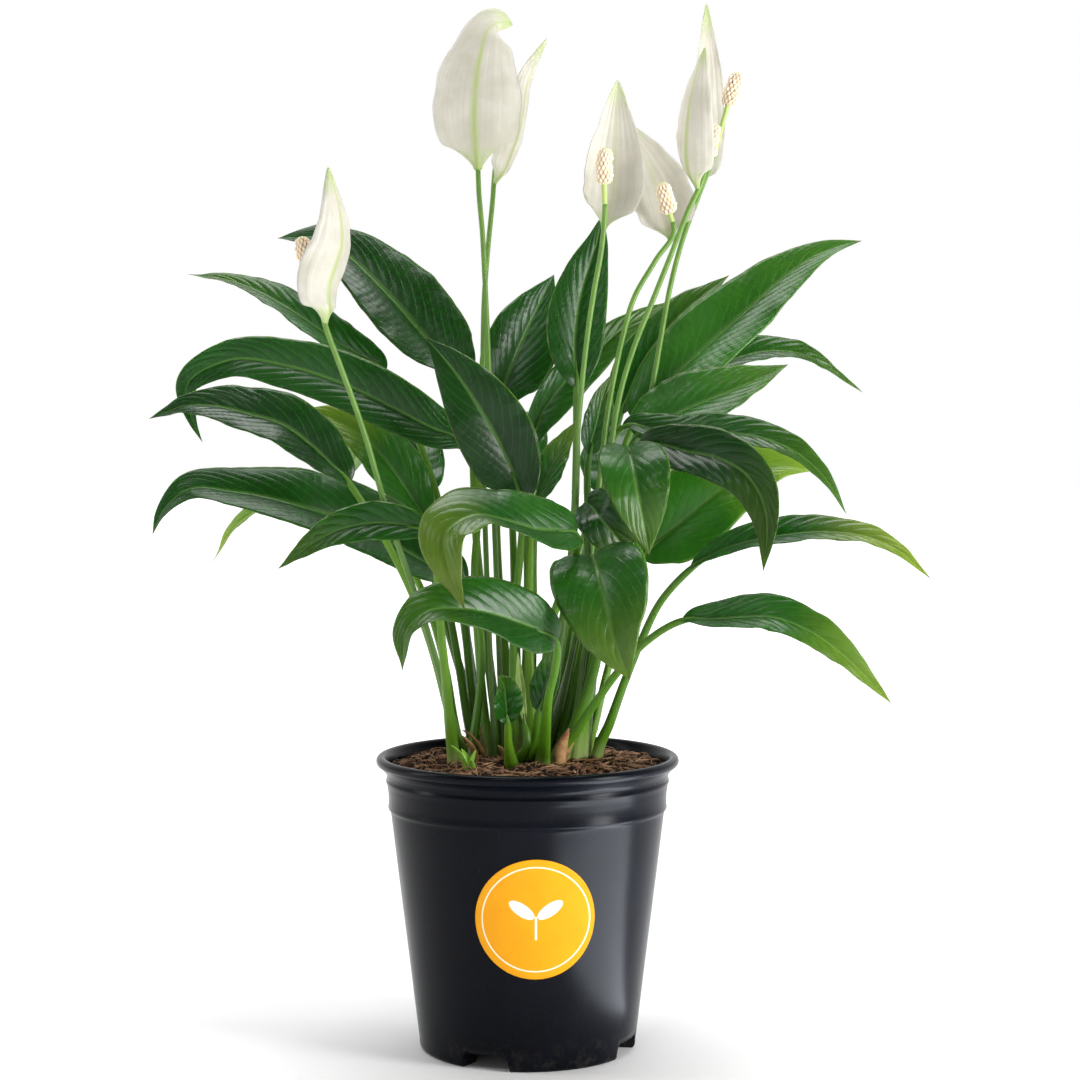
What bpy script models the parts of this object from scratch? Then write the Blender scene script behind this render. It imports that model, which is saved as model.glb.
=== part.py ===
# Potted peace lily: a nursery pot with its soil and plain round sticker, and a plant of
# stalked leaves and seven flowers. The origin is on the pot's axis at its foot, +Z up, and
# the flowers face about -Y, which is the front.
import math

import bpy
import bmesh
import numpy as np
from mathutils import Vector

mm = 0.001

# Driving dimensions of the pot
pot_height = 160 * mm
rim_radius = 82.5 * mm
rim_bead_radius = 2.8 * mm       # the rolled lip at the top
lip_depth = 3.4 * rim_bead_radius    # from the top down to where the lip meets the collar
wall = 1.4 * mm
collar_radius = rim_radius - 6.3 * mm    # the wall just under the lip
collar_depth = 29 * mm           # from the top down to the step
step_in = 1.4 * mm               # how far the wall goes in at the step
foot_radius = 0.696 * rim_radius
foot_corner = 4.0 * mm           # the rounded lower edge
corner_out = (0.45, 0.32)        # how far out that edge is at its top and low down, against foot_corner
foot_width = 11 * mm             # width of the ring that the pot stands on
floor_rise = 5.0 * mm            # the floor's underside above the ground
notch_height = 8.5 * mm          # drainage notches between the feet
notch_angle = math.radians(26)
notch_turn = math.radians(22.5)
notch_taper = 0.92               # a notch's width at its top against its foot
notch_margin = 4.0 * mm          # how far a notch's cutter reaches past the foot's ring
feet = 4
ridge = 0.6 * mm                 # how far the collar's ridge and lip shoulder stand out
collar_taper = 0.7 * mm          # how much narrower the collar is at the step
foot_slope = 1.5 * mm            # how far the foot ring's inner side leans in

# Soil
soil_below_rim = 3.0 * mm        # the flat middle of the soil under the rim's top
soil_edge_drop = 3.0 * mm        # how much lower the soil is at the wall
soil_flat_radius = 0.735 * collar_radius
gap = 0.3 * mm                   # between pieces that touch in the real thing

# Sticker on the pot's wall
label_radius = 32.2 * mm
punch_place = 0.75 * rim_radius  # how far forward the round punch that cuts it stands
label_thickness = 0.3 * mm
label_height = 0.522 * pot_height
label_offset = 4.7 * mm          # sideways from the pot's front line

# Plant
plant_rise = 1.0                 # height of the plant against the one drawn below
plant_spread = 1.0               # the same for its width
petiole_radius = 2.2 * mm
blade_thickness = 0.8 * mm
blade_fold = math.radians(14)    # each half of a blade rises this much from the midrib
flower_stem_radius = 1.6 * mm
spathe_thickness = 0.7 * mm
spadix_radius = 3.6 * mm

segments = 48
stem_points = 14
stalk_rings = 5
blade_rings = (0, 0.04, 0.12, 0.24, 0.38, 0.54, 0.70, 0.84, 0.94)    # shares of the blade's length
spathe_rings = (0, 0.06, 0.14, 0.24, 0.36, 0.5, 0.64, 0.78, 0.9, 0.96)
pole_depth = 0.2 * mm            # how far a stalk's end bulges past its last ring
petiole_flare = 1.15             # a stalk's radius at the soil, against petiole_radius
stalk_top = 0.85                 # the same at its blade
stalk_clearance = 1.8 * mm       # between neighbouring stalks on the crown
direction_reach = 5 * mm         # a path's direction is taken between points this far to either side
blade_powers = (0.6, 1.1)        # how steeply a blade widens from its base and narrows to its tip
mid_blade = 0.4                  # share of a blade that is its base
flat_from = 2.5                  # a blade's base is flat once its half-width is this many stalk radii
blade_thin_from = 0.35           # towards its tip a blade is thinner below this share of its half-width
midrib_depth = 1.6               # thickness at the midrib against the rest
spathe_part = (0.04, 0.98)       # the part of a leaf's outline that a spathe follows
spathe_least = 0.05              # its least half-width against its largest
spathe_opening = 0.35            # how much flatter its cup is at its tip
spathe_thin_from = 0.3           # below this share of its half-width a spathe is thinner,
spathe_thinnest = 0.4            # down to this share of its thickness
spathe_clearance = 2.1 * mm      # between a flower's stem and its spathe
spadix_segments = 12
spadix_belly = 1.05              # its largest radius against spadix_radius,
spadix_belly_at = 0.4            # at this share of its length
spadix_shoulder = 0.8            # height of its lower edge's rounding, in radii,
spadix_foot = 0.6                # and its radius at the very foot

colours = {
    "pot": (0.010, 0.011, 0.014),
    "soil": (0.11, 0.06, 0.035),
    "label": (0.93, 0.45, 0.02),
    "leaf": (0.02, 0.09, 0.02),
    "petiole": (0.16, 0.32, 0.06),
    "spathe": (0.86, 0.84, 0.78),
    "spadix": (0.80, 0.66, 0.48),
}

# Where each leaf grows and how it arches. A plan holds the name, the spot on the crown in stalk
# pitches, the midrib's points in mm from the crown (height above the soil), which of them starts
# the blade, the blade's half-width in mm, where its upper side faces at its base and at its tip,
# and, where it isn't the usual one, the fold of its halves in degrees.
leaf_plans = [
    (
        "leaf_back_left_broad", (-2.3, 3.8),
        [(-28, 38, 107), (-38, 58, 208), (-57, 66, 231), (-75, 72, 252),
         (-99, 80, 276), (-119, 86, 290), (-145, 90, 290)],
        2, 28, (0.5, -1, 0.5), (0.2, -0.8, 0.8),
    ),
    (
        "leaf_back_left_slim", (-4.1, 3.8),
        [(-41, 34, 107), (-81, 55, 212), (-107, 62, 229),
         (-139, 70, 251), (-168, 78, 265), (-196, 84, 269)],
        2, 15, (0.2, -0.6, 0.8), (0, -0.5, 1),
    ),
    (
        "leaf_left_long", (-3.2, 1.9),
        [(-29, 13, 92), (-31, 11, 169), (-58, 0, 184), (-88, -3, 200), (-123, -6, 213),
         (-157, -8, 218), (-180, -8, 210), (-184, -8, 196), (-175, -8, 173)],
        2, 17, (0.2, -0.9, 0.7), (-0.3, -0.6, 0.6),
    ),
    (
        "leaf_left_arching", (-5.2, -0.9),
        [(-60, -20, 89), (-94, -32, 152), (-109, -32, 168), (-128, -34, 183),
         (-151, -34, 190), (-178, -30, 194), (-201, -26, 186)],
        2, 18, (0.4, -0.8, 0.6), (-0.1, -0.7, 0.7),
    ),
    (
        "leaf_front_upright_dark", (-1.2, -1.2),
        [(-7, -16, 78), (-3, -23, 142), (-12, -23, 167), (-25, -24, 191), (-40, -20, 213), (-55, -16, 230)],
        2, 21, (-0.1, -1, 0.2), (0, -1, 0.3),
    ),
    (
        "leaf_back_centre", (-1.2, 3.8),
        [(-17, 40, 107), (-16, 62, 195), (-7, 70, 222), (6, 80, 251), (15, 86, 269)],
        2, 22, (0.4, -1, 0.2), (0.2, -1, 0.3),
    ),
    (
        "leaf_centre_upright", (0.9, 1.5),
        [(24, 14, 108), (27, 26, 203), (26, 32, 230), (30, 38, 257), (39, 44, 286), (42, 47, 301)],
        2, 17, (0.1, -1, 0.1), (0, -1, 0.1),
    ),
    (
        "leaf_left_low_big", (-4.4, 0.2),
        [(-25, 4, 65), (-34, 7, 95), (-56, 3, 109), (-86, 2, 125), (-114, -10, 137),
         (-149, -16, 146), (-180, -20, 149), (-193, -22, 140), (-200, -24, 124)],
        2, 26, (0.5, -0.7, 0.8), (-0.3, -0.8, 0.5),
    ),
    (
        "leaf_left_low_pale", (-5.5, 1.7),
        [(-49, 22, 63), (-68, 30, 107), (-99, 34, 130), (-133, 36, 141), (-161, 36, 129), (-176, 34, 106)],
        2, 17, (0.2, -0.4, 1), (-0.6, -0.3, 0.6),
    ),
    (
        "leaf_left_front_slim", (-5.8, -2.5),
        [(-46, -41, 80), (-51, -52, 126), (-62, -56, 131),
         (-84, -62, 132), (-104, -68, 126), (-128, -72, 109)],
        2, 11, (0.1, -1, 0.6), (-0.2, -0.9, 0.5),
    ),
    (
        "leaf_left_inner", (-4.4, 2.6),
        [(-45, 28, 85), (-58, 32, 130), (-70, 32, 151), (-86, 30, 171), (-107, 28, 186), (-128, 26, 191)],
        2, 18, (0.5, -0.9, 0.3), (0.3, -0.8, 0.6),
    ),
    (
        "leaf_front_pale", (0.9, -2.5),
        [(13, -43, 80), (26, -64, 125), (4, -88, 131), (-21, -104, 138),
         (-38, -114, 136), (-39, -123, 116), (-30, -124, 92)],
        2, 21, (0.4, -0.7, 0.8), (-0.5, -0.9, 0),
    ),
    (
        "leaf_front_low_grey", (1.2, -4.4),
        [(11, -60, 40), (15, -80, 72), (-3, -98, 84), (-23, -112, 91),
         (-42, -125, 93), (-57, -133, 88), (-60, -144, 64)],
        2, 19, (0.3, -0.8, 0.5), (-0.7, -0.6, 0.3),
    ),
    (
        "leaf_front_small_curled", (-1.2, -4.2),
        [(-10, -38, 15), (-10, -44, 26), (-11, -50, 39), (-12, -56, 48), (-15, -64, 53)],
        2, 9, (0.3, -1, 0.3), (0, -1, 0.2),
    ),
    (
        "leaf_front_small_rolled", (-0.1, -2.7),
        [(4, -28, 15), (6, -35, 31), (9, -37, 43), (13, -42, 58), (18, -46, 70)],
        2, 8, (-0.5, -1, 0.2), (0.2, -1, 0.2),
    ),
    (
        "leaf_front_right_hanging", (2.8, -1.8),
        [(39, -30, 68), (34, -56, 113), (36, -76, 109), (40, -88, 94), (44, -96, 75), (52, -100, 55)],
        2, 26, (-0.2, -0.5, 1), (-0.2, -1, 0.1),
    ),
    (
        "leaf_right_grey_hanging", (3.8, -1.5),
        [(45, -21, 111), (52, -36, 170), (55, -57, 161), (58, -66, 144), (61, -66, 129), (63, -68, 116)],
        2, 19, (0, -0.1, 1), (0.1, -1, 0.2),
    ),
    (
        "leaf_right_dark_hanging", (2.7, 0.4),
        [(34, 0, 87), (31, -17, 140), (40, -43, 132), (50, -39, 120), (59, -44, 109), (64, -46, 103)],
        2, 13, (-0.3, -0.8, 0.8), (-0.3, -1, 0.3),
    ),
    (
        "leaf_right_bright", (4.7, 0.9),
        [(48, 6, 65), (62, 0, 110), (87, -6, 133), (110, -8, 151), (134, -8, 161), (155, -8, 158)],
        2, 25, (0, -0.9, 0.6), (0, -0.9, 0.6),
    ),
    (
        "leaf_right_dark_drooping", (4.4, -0.5),
        [(42, -12, 99), (60, -28, 171), (85, -45, 169), (108, -58, 162),
         (120, -66, 147), (123, -72, 129), (121, -76, 108)],
        2, 15, (-0.2, -0.7, 0.8), (-0.5, -0.9, 0.1),
    ),
    (
        "leaf_right_arching_grey", (2.6, 1.9),
        [(37, 8, 109), (51, -1, 181), (82, -18, 178), (111, -24, 179),
         (137, -30, 172), (157, -34, 156), (169, -36, 135)],
        2, 12, (0, -0.6, 1), (0.3, -0.7, 0.6),
    ),
    (
        "leaf_upper_right_big", (2.9, 3.9),
        [(35, 35, 85), (60, 48, 185), (77, 52, 205), (98, 58, 225),
         (122, 64, 246), (147, 72, 268), (171, 78, 283), (192, 82, 288)],
        2, 23, (-0.4, -0.9, 0.5), (-0.2, -0.9, 0.6),
    ),
    (
        "leaf_upper_right_hidden", (1.7, 5),
        [(27, 48, 84), (53, 80, 188), (71, 92, 226), (94, 102, 252), (118, 110, 270)],
        2, 16, (-0.5, -1, 0.4), (-0.3, -1, 0.6),
    ),
    (
        "leaf_striped_slim", (-0.3, 2.6),
        [(0, 26, 85), (1, 40, 171), (14, 46, 198), (35, 54, 220), (59, 62, 241), (82, 70, 253)],
        2, 12, (0.4, -0.8, -0.4), (0.2, -0.8, 0.5),
    ),
    (
        "leaf_centre_slim", (0.3, 0.3),
        [(3, 0, 77), (5, -4, 140), (12, -2, 158), (20, 2, 174), (27, 4, 185)],
        2, 9, (-0.5, -1, 0), (-0.4, -1, 0),
    ),
    (
        "leaf_right_far_arching", (4.4, 3.8),
        [(43, 34, 85), (80, 66, 195), (107, 74, 215), (133, 80, 225),
         (160, 84, 223), (179, 88, 212), (194, 90, 201)],
        2, 12, (0, -0.5, 1), (0.3, -0.6, 0.8),
    ),
    (
        "leaf_right_mid_dark", (3.8, 2.3),
        [(39, 20, 86), (60, 26, 176), (84, 26, 190), (115, 26, 203), (144, 26, 216)],
        2, 21, (-0.3, -0.8, 0.7), (-0.2, -0.8, 0.7),
    ),
    (
        "leaf_right_long_stalk", (5.5, -0.3),
        [(58, -20, 60), (72, -32, 91), (86, -40, 107), (102, -46, 118),
         (132, -54, 126), (162, -64, 128), (186, -76, 122), (205, -88, 105)],
        3, 11, (-0.2, -0.6, 0.9), (0.1, -0.8, 0.6),
    ),
    (
        "leaf_right_low", (2, -3.5),
        [(48, -48, 54), (64, -58, 72), (80, -66, 82), (99, -72, 84),
         (127, -78, 85), (150, -82, 75), (169, -84, 59), (186, -86, 41)],
        3, 13, (-0.1, -0.6, 0.9), (0.2, -0.9, 0.5),
    ),
    (
        "leaf_left_behind_tip", (-3.5, 5),
        [(-50, 50, 84), (-62, 58, 137), (-67, 62, 157), (-72, 64, 174), (-74, 66, 194)],
        2, 11, (0.6, -1, 0), (0.3, -1, 0.2),
    ),
    (
        "leaf_centre_dark", (1.6, 2.4),
        [(31, 19, 86), (34, 26, 166), (38, 28, 182), (42, 30, 199), (46, 32, 210)],
        2, 10, (0.5, -1, 0), (0.3, -1, 0),
    ),
    (
        "leaf_rolled_spear", (0.3, -1.3),
        [(1, -16, 67), (2, -19, 132), (3, -19, 153), (3, -18, 169), (1, -16, 183)],
        2, 3.4, (-0.3, -1, 0), (-0.3, -1, 0), 60,
    ),
    (
        "leaf_sheath_front", (-1, -3.1),
        [(0, -33, 13), (-1, -31, 23), (-3, -31, 39), (-4, -33, 52), (-5, -35, 63)],
        2, 4.5, (-0.1, 1, 0), (-0.1, 1, 0), 52,
    ),
    (
        "leaf_rear_left", (-3.8, 6.1),
        [(-42, 66, 98), (-58, 84, 143), (-78, 104, 171), (-96, 124, 173), (-110, 148, 149)],
        2, 24, (0.4, -0.5, 0.5), (-0.4, 0.6, 0.7),
    ),
    (
        "leaf_rear_centre", (-0.9, 6.1),
        [(-8, 66, 93), (-10, 82, 143), (-14, 104, 181), (-18, 126, 187), (-24, 146, 161)],
        2, 24, (0, -0.9, 0.4), (0, 0.8, 0.6),
    ),
    (
        "leaf_rear_right", (1.7, 6.1),
        [(26, 66, 98), (42, 82, 143), (58, 104, 173), (76, 126, 175), (92, 150, 147)],
        2, 24, (-0.4, -0.5, 0.5), (0.4, 0.6, 0.7),
    ),
]

# A flower's plan holds its number, its spot on the crown, its stem's points, the point where the
# spathe leaves the stem, the spathe's midrib, its half-width in mm, the half-angle of its cup in
# degrees, where its hollow side faces, and the spadix's two ends.
flower_plans = [
    (
        "1", (-5, -1.8),
        [(-54, -33, 77), (-72, -50, 134), (-84, -58, 178), (-92, -62, 202)], (-104, -66, 236),
        [(-106, -64, 252), (-99, -64, 278), (-105, -66, 315)], 18, 50, (-0.85, 0.5, 0),
        [(-108, -60, 254), (-117, -54, 280)],
    ),
    (
        "2", (-2, 2),
        [(-17, 24, 86), (-21, 33, 196), (-25, 40, 285)], (-28, 44, 327),
        [(-29, 38, 357), (-26, 38, 385), (-19, 46, 406), (-8, 58, 407)], 25, 55, (0.1, 0.9, 0.2),
        [(-27, 48, 341), (-24, 54, 367)],
    ),
    (
        "3", (-2.6, 0.8),
        [(-22, 14, 86), (-25, 35, 185), (-24, 51, 264), (-20, 58, 309)], (-21, 62, 318),
        [(-9, 60, 348), (-4, 58, 376), (7, 58, 399)], 10, 50, (-0.8, 0.6, 0),
        [(-18, 66, 332), (-14, 74, 360)],
    ),
    (
        "4", (1.2, -0.9),
        [(24, -12, 110), (27, -18, 180), (33, -24, 238)], (41, -28, 288),
        [(45, -20, 305), (47, -16, 329), (48, -22, 366)], 16, 50, (0, -1, 0.1),
        [(41, -28, 299), (41, -34, 328)],
    ),
    (
        "5", (1.8, 1.4),
        [(34, 3, 109), (45, -1, 199), (61, 10, 259)], (78, 12, 284),
        [(74, 20, 306), (64, 22, 330), (53, 18, 349)], 17, 50, (0, -1, 0.1),
        [(79, 12, 293), (73, 6, 314)],
    ),
    (
        "6", (3.3, -0.7),
        [(38, -8, 110), (51, -8, 204), (74, -10, 266)], (91, -14, 310),
        [(88, -22, 328), (90, -26, 354), (97, -22, 382)], 14, 55, (0.7, 0.6, 0),
        [(95, -10, 319), (101, -4, 344)],
    ),
    (
        "7", (2.2, 3.1),
        [(51, 30, 119), (68, 38, 196), (83, 46, 274)], (97, 52, 314),
        [(100, 54, 337), (102, 56, 376), (103, 58, 420)], 12, 55, (0.5, -0.8, 0),
        [(105, 48, 336), (117, 42, 378)],
    ),
]



def clear_scene():
    for item in list(bpy.data.objects):
        bpy.data.objects.remove(item, do_unlink=True)


def new_collection(name):
    group = bpy.data.collections.new(name)
    bpy.context.scene.collection.children.link(group)
    return group


def new_material(name, roughness):
    material = bpy.data.materials.new(name)
    material.use_nodes = True
    shader = material.node_tree.nodes["Principled BSDF"]
    shader.inputs["Base Color"].default_value = (*colours[name], 1)
    shader.inputs["Roughness"].default_value = roughness
    shader.inputs["Metallic"].default_value = 0
    return material


def add_mesh(name, points, faces, material, group):
    mesh = bpy.data.meshes.new(name)
    mesh.from_pydata([tuple(p) for p in points], [], faces)
    mesh.update()
    mesh.shade_smooth()
    mesh.set_sharp_from_angle(angle=math.radians(40))
    thing = bpy.data.objects.new(name, mesh)
    thing.data.materials.append(material)
    group.objects.link(thing)
    return thing


def turned(name, profile, material, group):
    # a profile of (radius, height) pairs, turned about the Z axis
    edges = [(i, i + 1) for i in range(len(profile) - 1)]
    mesh = bpy.data.meshes.new(name)
    mesh.from_pydata([(r, 0, z) for r, z in profile], edges, [])
    thing = bpy.data.objects.new(name, mesh)
    group.objects.link(thing)
    screw = thing.modifiers.new("turn", "SCREW")
    screw.steps = segments
    screw.render_steps = segments
    screw.use_merge_vertices = True
    screw.merge_threshold = 0.00005
    screw.use_smooth_shade = True
    thing.data.materials.append(material)
    return thing


def boolean(thing, cutter, operation):
    cut = thing.modifiers.new(operation.lower(), "BOOLEAN")
    cut.operation = operation
    cut.object = cutter
    cut.solver = "EXACT"


def hide_cutter(cutter):
    cutter.hide_render = True
    cutter.display_type = "WIRE"


def arc(centre, radius, start, end, steps):
    # points on an arc in the (radius, height) plane, angles in degrees
    angles = np.radians(np.linspace(start, end, steps))
    return [(centre[0] + radius * math.cos(a), centre[1] + radius * math.sin(a)) for a in angles]


def wall_radius(height):
    # outer radius of the tapered wall between the step and the foot's corner
    top = (collar_radius - step_in, pot_height - collar_depth)
    low = (foot_radius + foot_corner * corner_out[0], foot_corner)
    share = (height - low[1]) / (top[1] - low[1])
    return low[0] + share * (top[0] - low[0])


def pot_outline():
    # the outer side from the lip down, under the foot to the axis, and back up inside
    bead_centre = (rim_radius - rim_bead_radius, pot_height - rim_bead_radius)
    collar_end = pot_height - collar_depth
    under_lip = pot_height - lip_depth
    collar_height = under_lip - collar_end
    outline = arc(bead_centre, rim_bead_radius, 120, -70, 9)
    outline += [
        (collar_radius + ridge, under_lip),
        (collar_radius, under_lip - 0.2 * collar_height),
        (collar_radius + ridge, under_lip - 0.33 * collar_height),
        (collar_radius - ridge, under_lip - 0.46 * collar_height),
        (collar_radius - collar_taper, collar_end + step_in),
        (collar_radius - step_in, collar_end - step_in / 2),
        (wall_radius(collar_end * 0.5), collar_end * 0.5),
        (wall_radius(foot_corner * 3), foot_corner * 3),
        (wall_radius(foot_corner), foot_corner),
        (foot_radius + foot_corner * corner_out[1], foot_corner * 0.35),
        (foot_radius, 0),
        (foot_radius - foot_width, 0),
        (foot_radius - foot_width - foot_slope, floor_rise),
        (0, floor_rise),
        (0, floor_rise + wall),
        (foot_radius - foot_width - foot_slope + wall, floor_rise + wall),
        (foot_radius - foot_width + wall, wall),
        (foot_radius - wall * 0.9, wall),
        (wall_radius(foot_corner * 1.4) - wall, foot_corner * 1.4),
        (wall_radius(collar_end * 0.5) - wall, collar_end * 0.5),
        (collar_radius - step_in - wall, collar_end - step_in / 2),
        (collar_radius - collar_taper - wall, collar_end + step_in),
        (collar_radius - wall, under_lip),
    ]
    return outline + [outline[0]]


def make_pot(group, cutters):
    pot = turned("pot", pot_outline(), new_material("pot", 0.32), group)
    reach = foot_radius + foot_corner * 2
    inner = foot_radius - foot_width - notch_margin
    half = reach * math.tan(notch_angle / 2)
    for i in range(feet):
        angle = notch_turn + math.radians(360 / feet) * (i + 0.5) - math.radians(90)
        bm = bmesh.new()
        bmesh.ops.create_cube(bm, size=1)
        mesh = bpy.data.meshes.new(f"notch_cutter_{i}")
        bm.to_mesh(mesh)
        bm.free()
        depth = notch_height + notch_margin
        for vertex in mesh.vertices:
            vertex.co.x = (inner + reach) / 2 + vertex.co.x * (reach - inner)
            vertex.co.y = vertex.co.y * 2 * half * (notch_taper if vertex.co.z > 0 else 1.0)
            vertex.co.z = notch_height - depth / 2 + vertex.co.z * depth
        cutter = bpy.data.objects.new(f"notch_cutter_{i}", mesh)
        cutter.rotation_euler.z = angle
        cutters.objects.link(cutter)
        hide_cutter(cutter)
        boolean(pot, cutter, "DIFFERENCE")
    return pot


def soil_top():
    return pot_height - soil_below_rim


def make_soil(group):
    # fills the pot from the floor to just under the rim, clear of the wall
    top = soil_top()
    edge = top - soil_edge_drop
    collar_end = pot_height - collar_depth
    clearance = wall + 2 * gap
    low = floor_rise + wall + gap
    shoulder = max(notch_height + gap, low + foot_slope)
    profile = [
        (0, top),
        (soil_flat_radius * 0.5, top),
        (soil_flat_radius, top),
        (collar_radius - clearance - collar_taper, edge),
        (collar_radius - clearance - collar_taper - gap, collar_end + step_in),
        (collar_radius - step_in - clearance - gap, collar_end - step_in),
        (wall_radius(collar_end * 0.5) - clearance, collar_end * 0.5),
        (wall_radius(shoulder + foot_corner) - clearance, shoulder + foot_corner),
        (foot_radius - foot_width - foot_slope - gap, low),
        (0, low),
    ]
    return turned("potting_mix", profile, new_material("soil", 0.95), group)


def make_label(group, cutters):
    # the part of a thin band around the wall that lies inside a round punch from the front
    reach = label_radius * 1.15
    top = label_height + reach
    low = label_height - reach
    near = gap
    far = gap + label_thickness
    band = [
        (wall_radius(top) + far, top),
        (wall_radius(low) + far, low),
        (wall_radius(low) + near, low),
        (wall_radius(top) + near, top),
        (wall_radius(top) + far, top),
    ]
    label = turned("sticker", band, new_material("label", 0.4), group)
    label.modifiers["turn"].steps = 2 * segments
    label.modifiers["turn"].render_steps = 2 * segments
    bm = bmesh.new()
    bmesh.ops.create_cone(
        bm, cap_ends=True, segments=segments, radius1=label_radius, radius2=label_radius, depth=rim_radius
    )
    mesh = bpy.data.meshes.new("label_punch")
    bm.to_mesh(mesh)
    bm.free()
    punch = bpy.data.objects.new("label_punch", mesh)
    punch.rotation_euler.x = math.radians(90)
    punch.location = (label_offset, -punch_place, label_height)
    cutters.objects.link(punch)
    hide_cutter(punch)
    boolean(label, punch, "INTERSECT")
    return label


def smooth_path(points, samples=12):
    # centripetal Catmull-Rom curve through the points: its points, and the length reached at
    # each of them and at each given point
    given = [Vector(p) for p in points]
    given = [given[0] * 2 - given[1]] + given + [given[-1] * 2 - given[-2]]
    curve = []
    for i in range(1, len(given) - 2):
        p0, p1, p2, p3 = given[i - 1:i + 3]
        t1 = math.sqrt((p1 - p0).length)
        t2 = t1 + math.sqrt((p2 - p1).length)
        t3 = t2 + math.sqrt((p3 - p2).length)
        for k in range(samples):
            t = t1 + (t2 - t1) * k / samples
            a1 = p0.lerp(p1, t / t1)
            a2 = p1.lerp(p2, (t - t1) / (t2 - t1))
            a3 = p2.lerp(p3, (t - t2) / (t3 - t2))
            b1 = a1.lerp(a2, t / t2)
            b2 = a2.lerp(a3, (t - t1) / (t3 - t1))
            curve.append(b1.lerp(b2, (t - t1) / (t2 - t1)))
    curve.append(given[-2])
    curve = np.array(curve)
    lengths = np.concatenate([[0], np.cumsum(np.linalg.norm(np.diff(curve, axis=0), axis=1))])
    return curve, lengths, lengths[::samples]


def along(curve, lengths, at):
    return np.stack([np.interp(at, lengths, curve[:, k]) for k in range(3)], axis=1)


def unit(vectors):
    return vectors / np.linalg.norm(vectors, axis=-1, keepdims=True)


def frames(curve, lengths, at, facing):
    # place, direction, side and upper normal at each length; facing is turned square to the path
    ahead = along(curve, lengths, np.minimum(at + direction_reach, lengths[-1]))
    behind = along(curve, lengths, np.maximum(at - direction_reach, 0))
    direction = unit(ahead - behind)
    across = np.sum(facing * direction, axis=1, keepdims=True)
    normal = unit(facing - across * direction)
    return along(curve, lengths, at), direction, np.cross(direction, normal), normal


def ring_solid(rings, low_pole, high_pole):
    # closed surface over rings of equally many points, with a pole at each end; the two sides of a thin
    # blade are cut into triangles along the same lines, so that they stay apart where it twists
    count, around = rings.shape[:2]
    points = np.vstack([rings.reshape(-1, 3), [low_pole], [high_pole]])
    faces = []
    for i in range(count - 1):
        for j in range(around):
            k = (j + 1) % around
            a, b = i * around + j, i * around + k
            c, d = (i + 1) * around + k, (i + 1) * around + j
            if j < around // 2:
                faces += [(a, b, c), (a, c, d)]
            else:
                faces += [(a, b, d), (b, c, d)]
    low, high = count * around, count * around + 1
    last = (count - 1) * around
    for j in range(around):
        k = (j + 1) % around
        faces.append((low, k, j))
        faces.append((high, last + j, last + k))
    return points, faces


def blade_width(share):
    # half-width of a blade against its largest, from its base (0) to its drawn-out tip (1)
    rise, fall = blade_powers
    widest = rise / (rise + fall)
    shape = np.clip(share, 0, 1) ** rise * np.clip(1 - share, 0, 1) ** fall
    return shape / (widest ** rise * (1 - widest) ** fall)


def plant_point(point):
    # a point given in millimetres from the crown, with its height above the soil
    x, y, z = point
    return (x * plant_spread * mm, y * plant_spread * mm, soil_top() + z * plant_rise * mm)


def crown_point(spot):
    # where a stalk meets the soil; spots are counted in stalk pitches
    pitch = 2 * petiole_radius * petiole_flare + stalk_clearance
    return (spot[0] * pitch, spot[1] * pitch, soil_top() + gap + pole_depth)


def rolled(normal, direction, share, at_tip):
    # the upper side is carried along the blade without twist, then turned evenly to face its tip's way
    for i in range(stalk_rings + 1, len(normal)):
        normal[i] = unit(normal[i - 1] - np.dot(normal[i - 1], direction[i]) * direction[i])
    end = direction[-1]
    wanted = unit(at_tip - np.dot(at_tip, end) * end)
    turn = math.atan2(np.dot(wanted, np.cross(end, normal[-1])), np.dot(wanted, normal[-1]))
    roll = (turn * share)[:, None]
    return normal * np.cos(roll) + np.cross(direction, normal) * np.sin(roll)


def leaf_rings(points, blade_start, half_width, facings, fold):
    # eight points around each ring: round on the stalk, a folded lens on the blade
    curve, lengths, marks = smooth_path(points)
    start, end = marks[blade_start], lengths[-1]
    stalk_stations = np.linspace(0, start, stalk_rings, endpoint=False)
    stations = np.concatenate([stalk_stations, start + (end - start) * np.array(blade_rings)])
    share = np.clip((stations - start) / (end - start), 0, 1)
    at_base, at_tip = unit(np.array(facings, dtype=float))
    place, direction, side, normal = frames(curve, lengths, stations, at_base)
    normal = rolled(normal, direction, share, at_tip)
    side = np.cross(direction, normal)
    upright = np.array([0, 0, 1.0])
    normal[0] = unit(at_base - np.dot(at_base, upright) * upright)
    side[0] = np.cross(upright, normal[0])
    width = half_width * blade_width(share)
    taper = stations / start
    stalk = petiole_flare - (petiole_flare - stalk_top) * np.clip(taper, 0, 1)
    radius = petiole_radius * stalk
    flatness = np.where(share > mid_blade, 1, np.clip(width / (flat_from * radius), 0, 1))
    thinning = np.where(share > mid_blade, np.clip(width / (blade_thin_from * half_width), 0, 1), 1)
    turn = np.radians([180, 135, 90, 45, 0, -45, -90, -135])
    across = np.array([-1, -0.5, 0, 0.5, 1, 0.5, 0, -0.5])
    under = np.array([0, 0, 0, 0, 0, 1, midrib_depth, 1])
    flat = flatness[:, None]
    offset = (1 - flat) * radius[:, None] * np.cos(turn) + flat * width[:, None] * across * math.cos(fold)
    lift = width[:, None] * np.abs(across) * math.sin(fold) - blade_thickness * under * thinning[:, None]
    height = (1 - flat) * radius[:, None] * np.sin(turn) + flat * lift
    rings = place[:, None] + offset[..., None] * side[:, None] + height[..., None] * normal[:, None]
    return rings, place[0] - upright * pole_depth, curve[-1]


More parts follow.
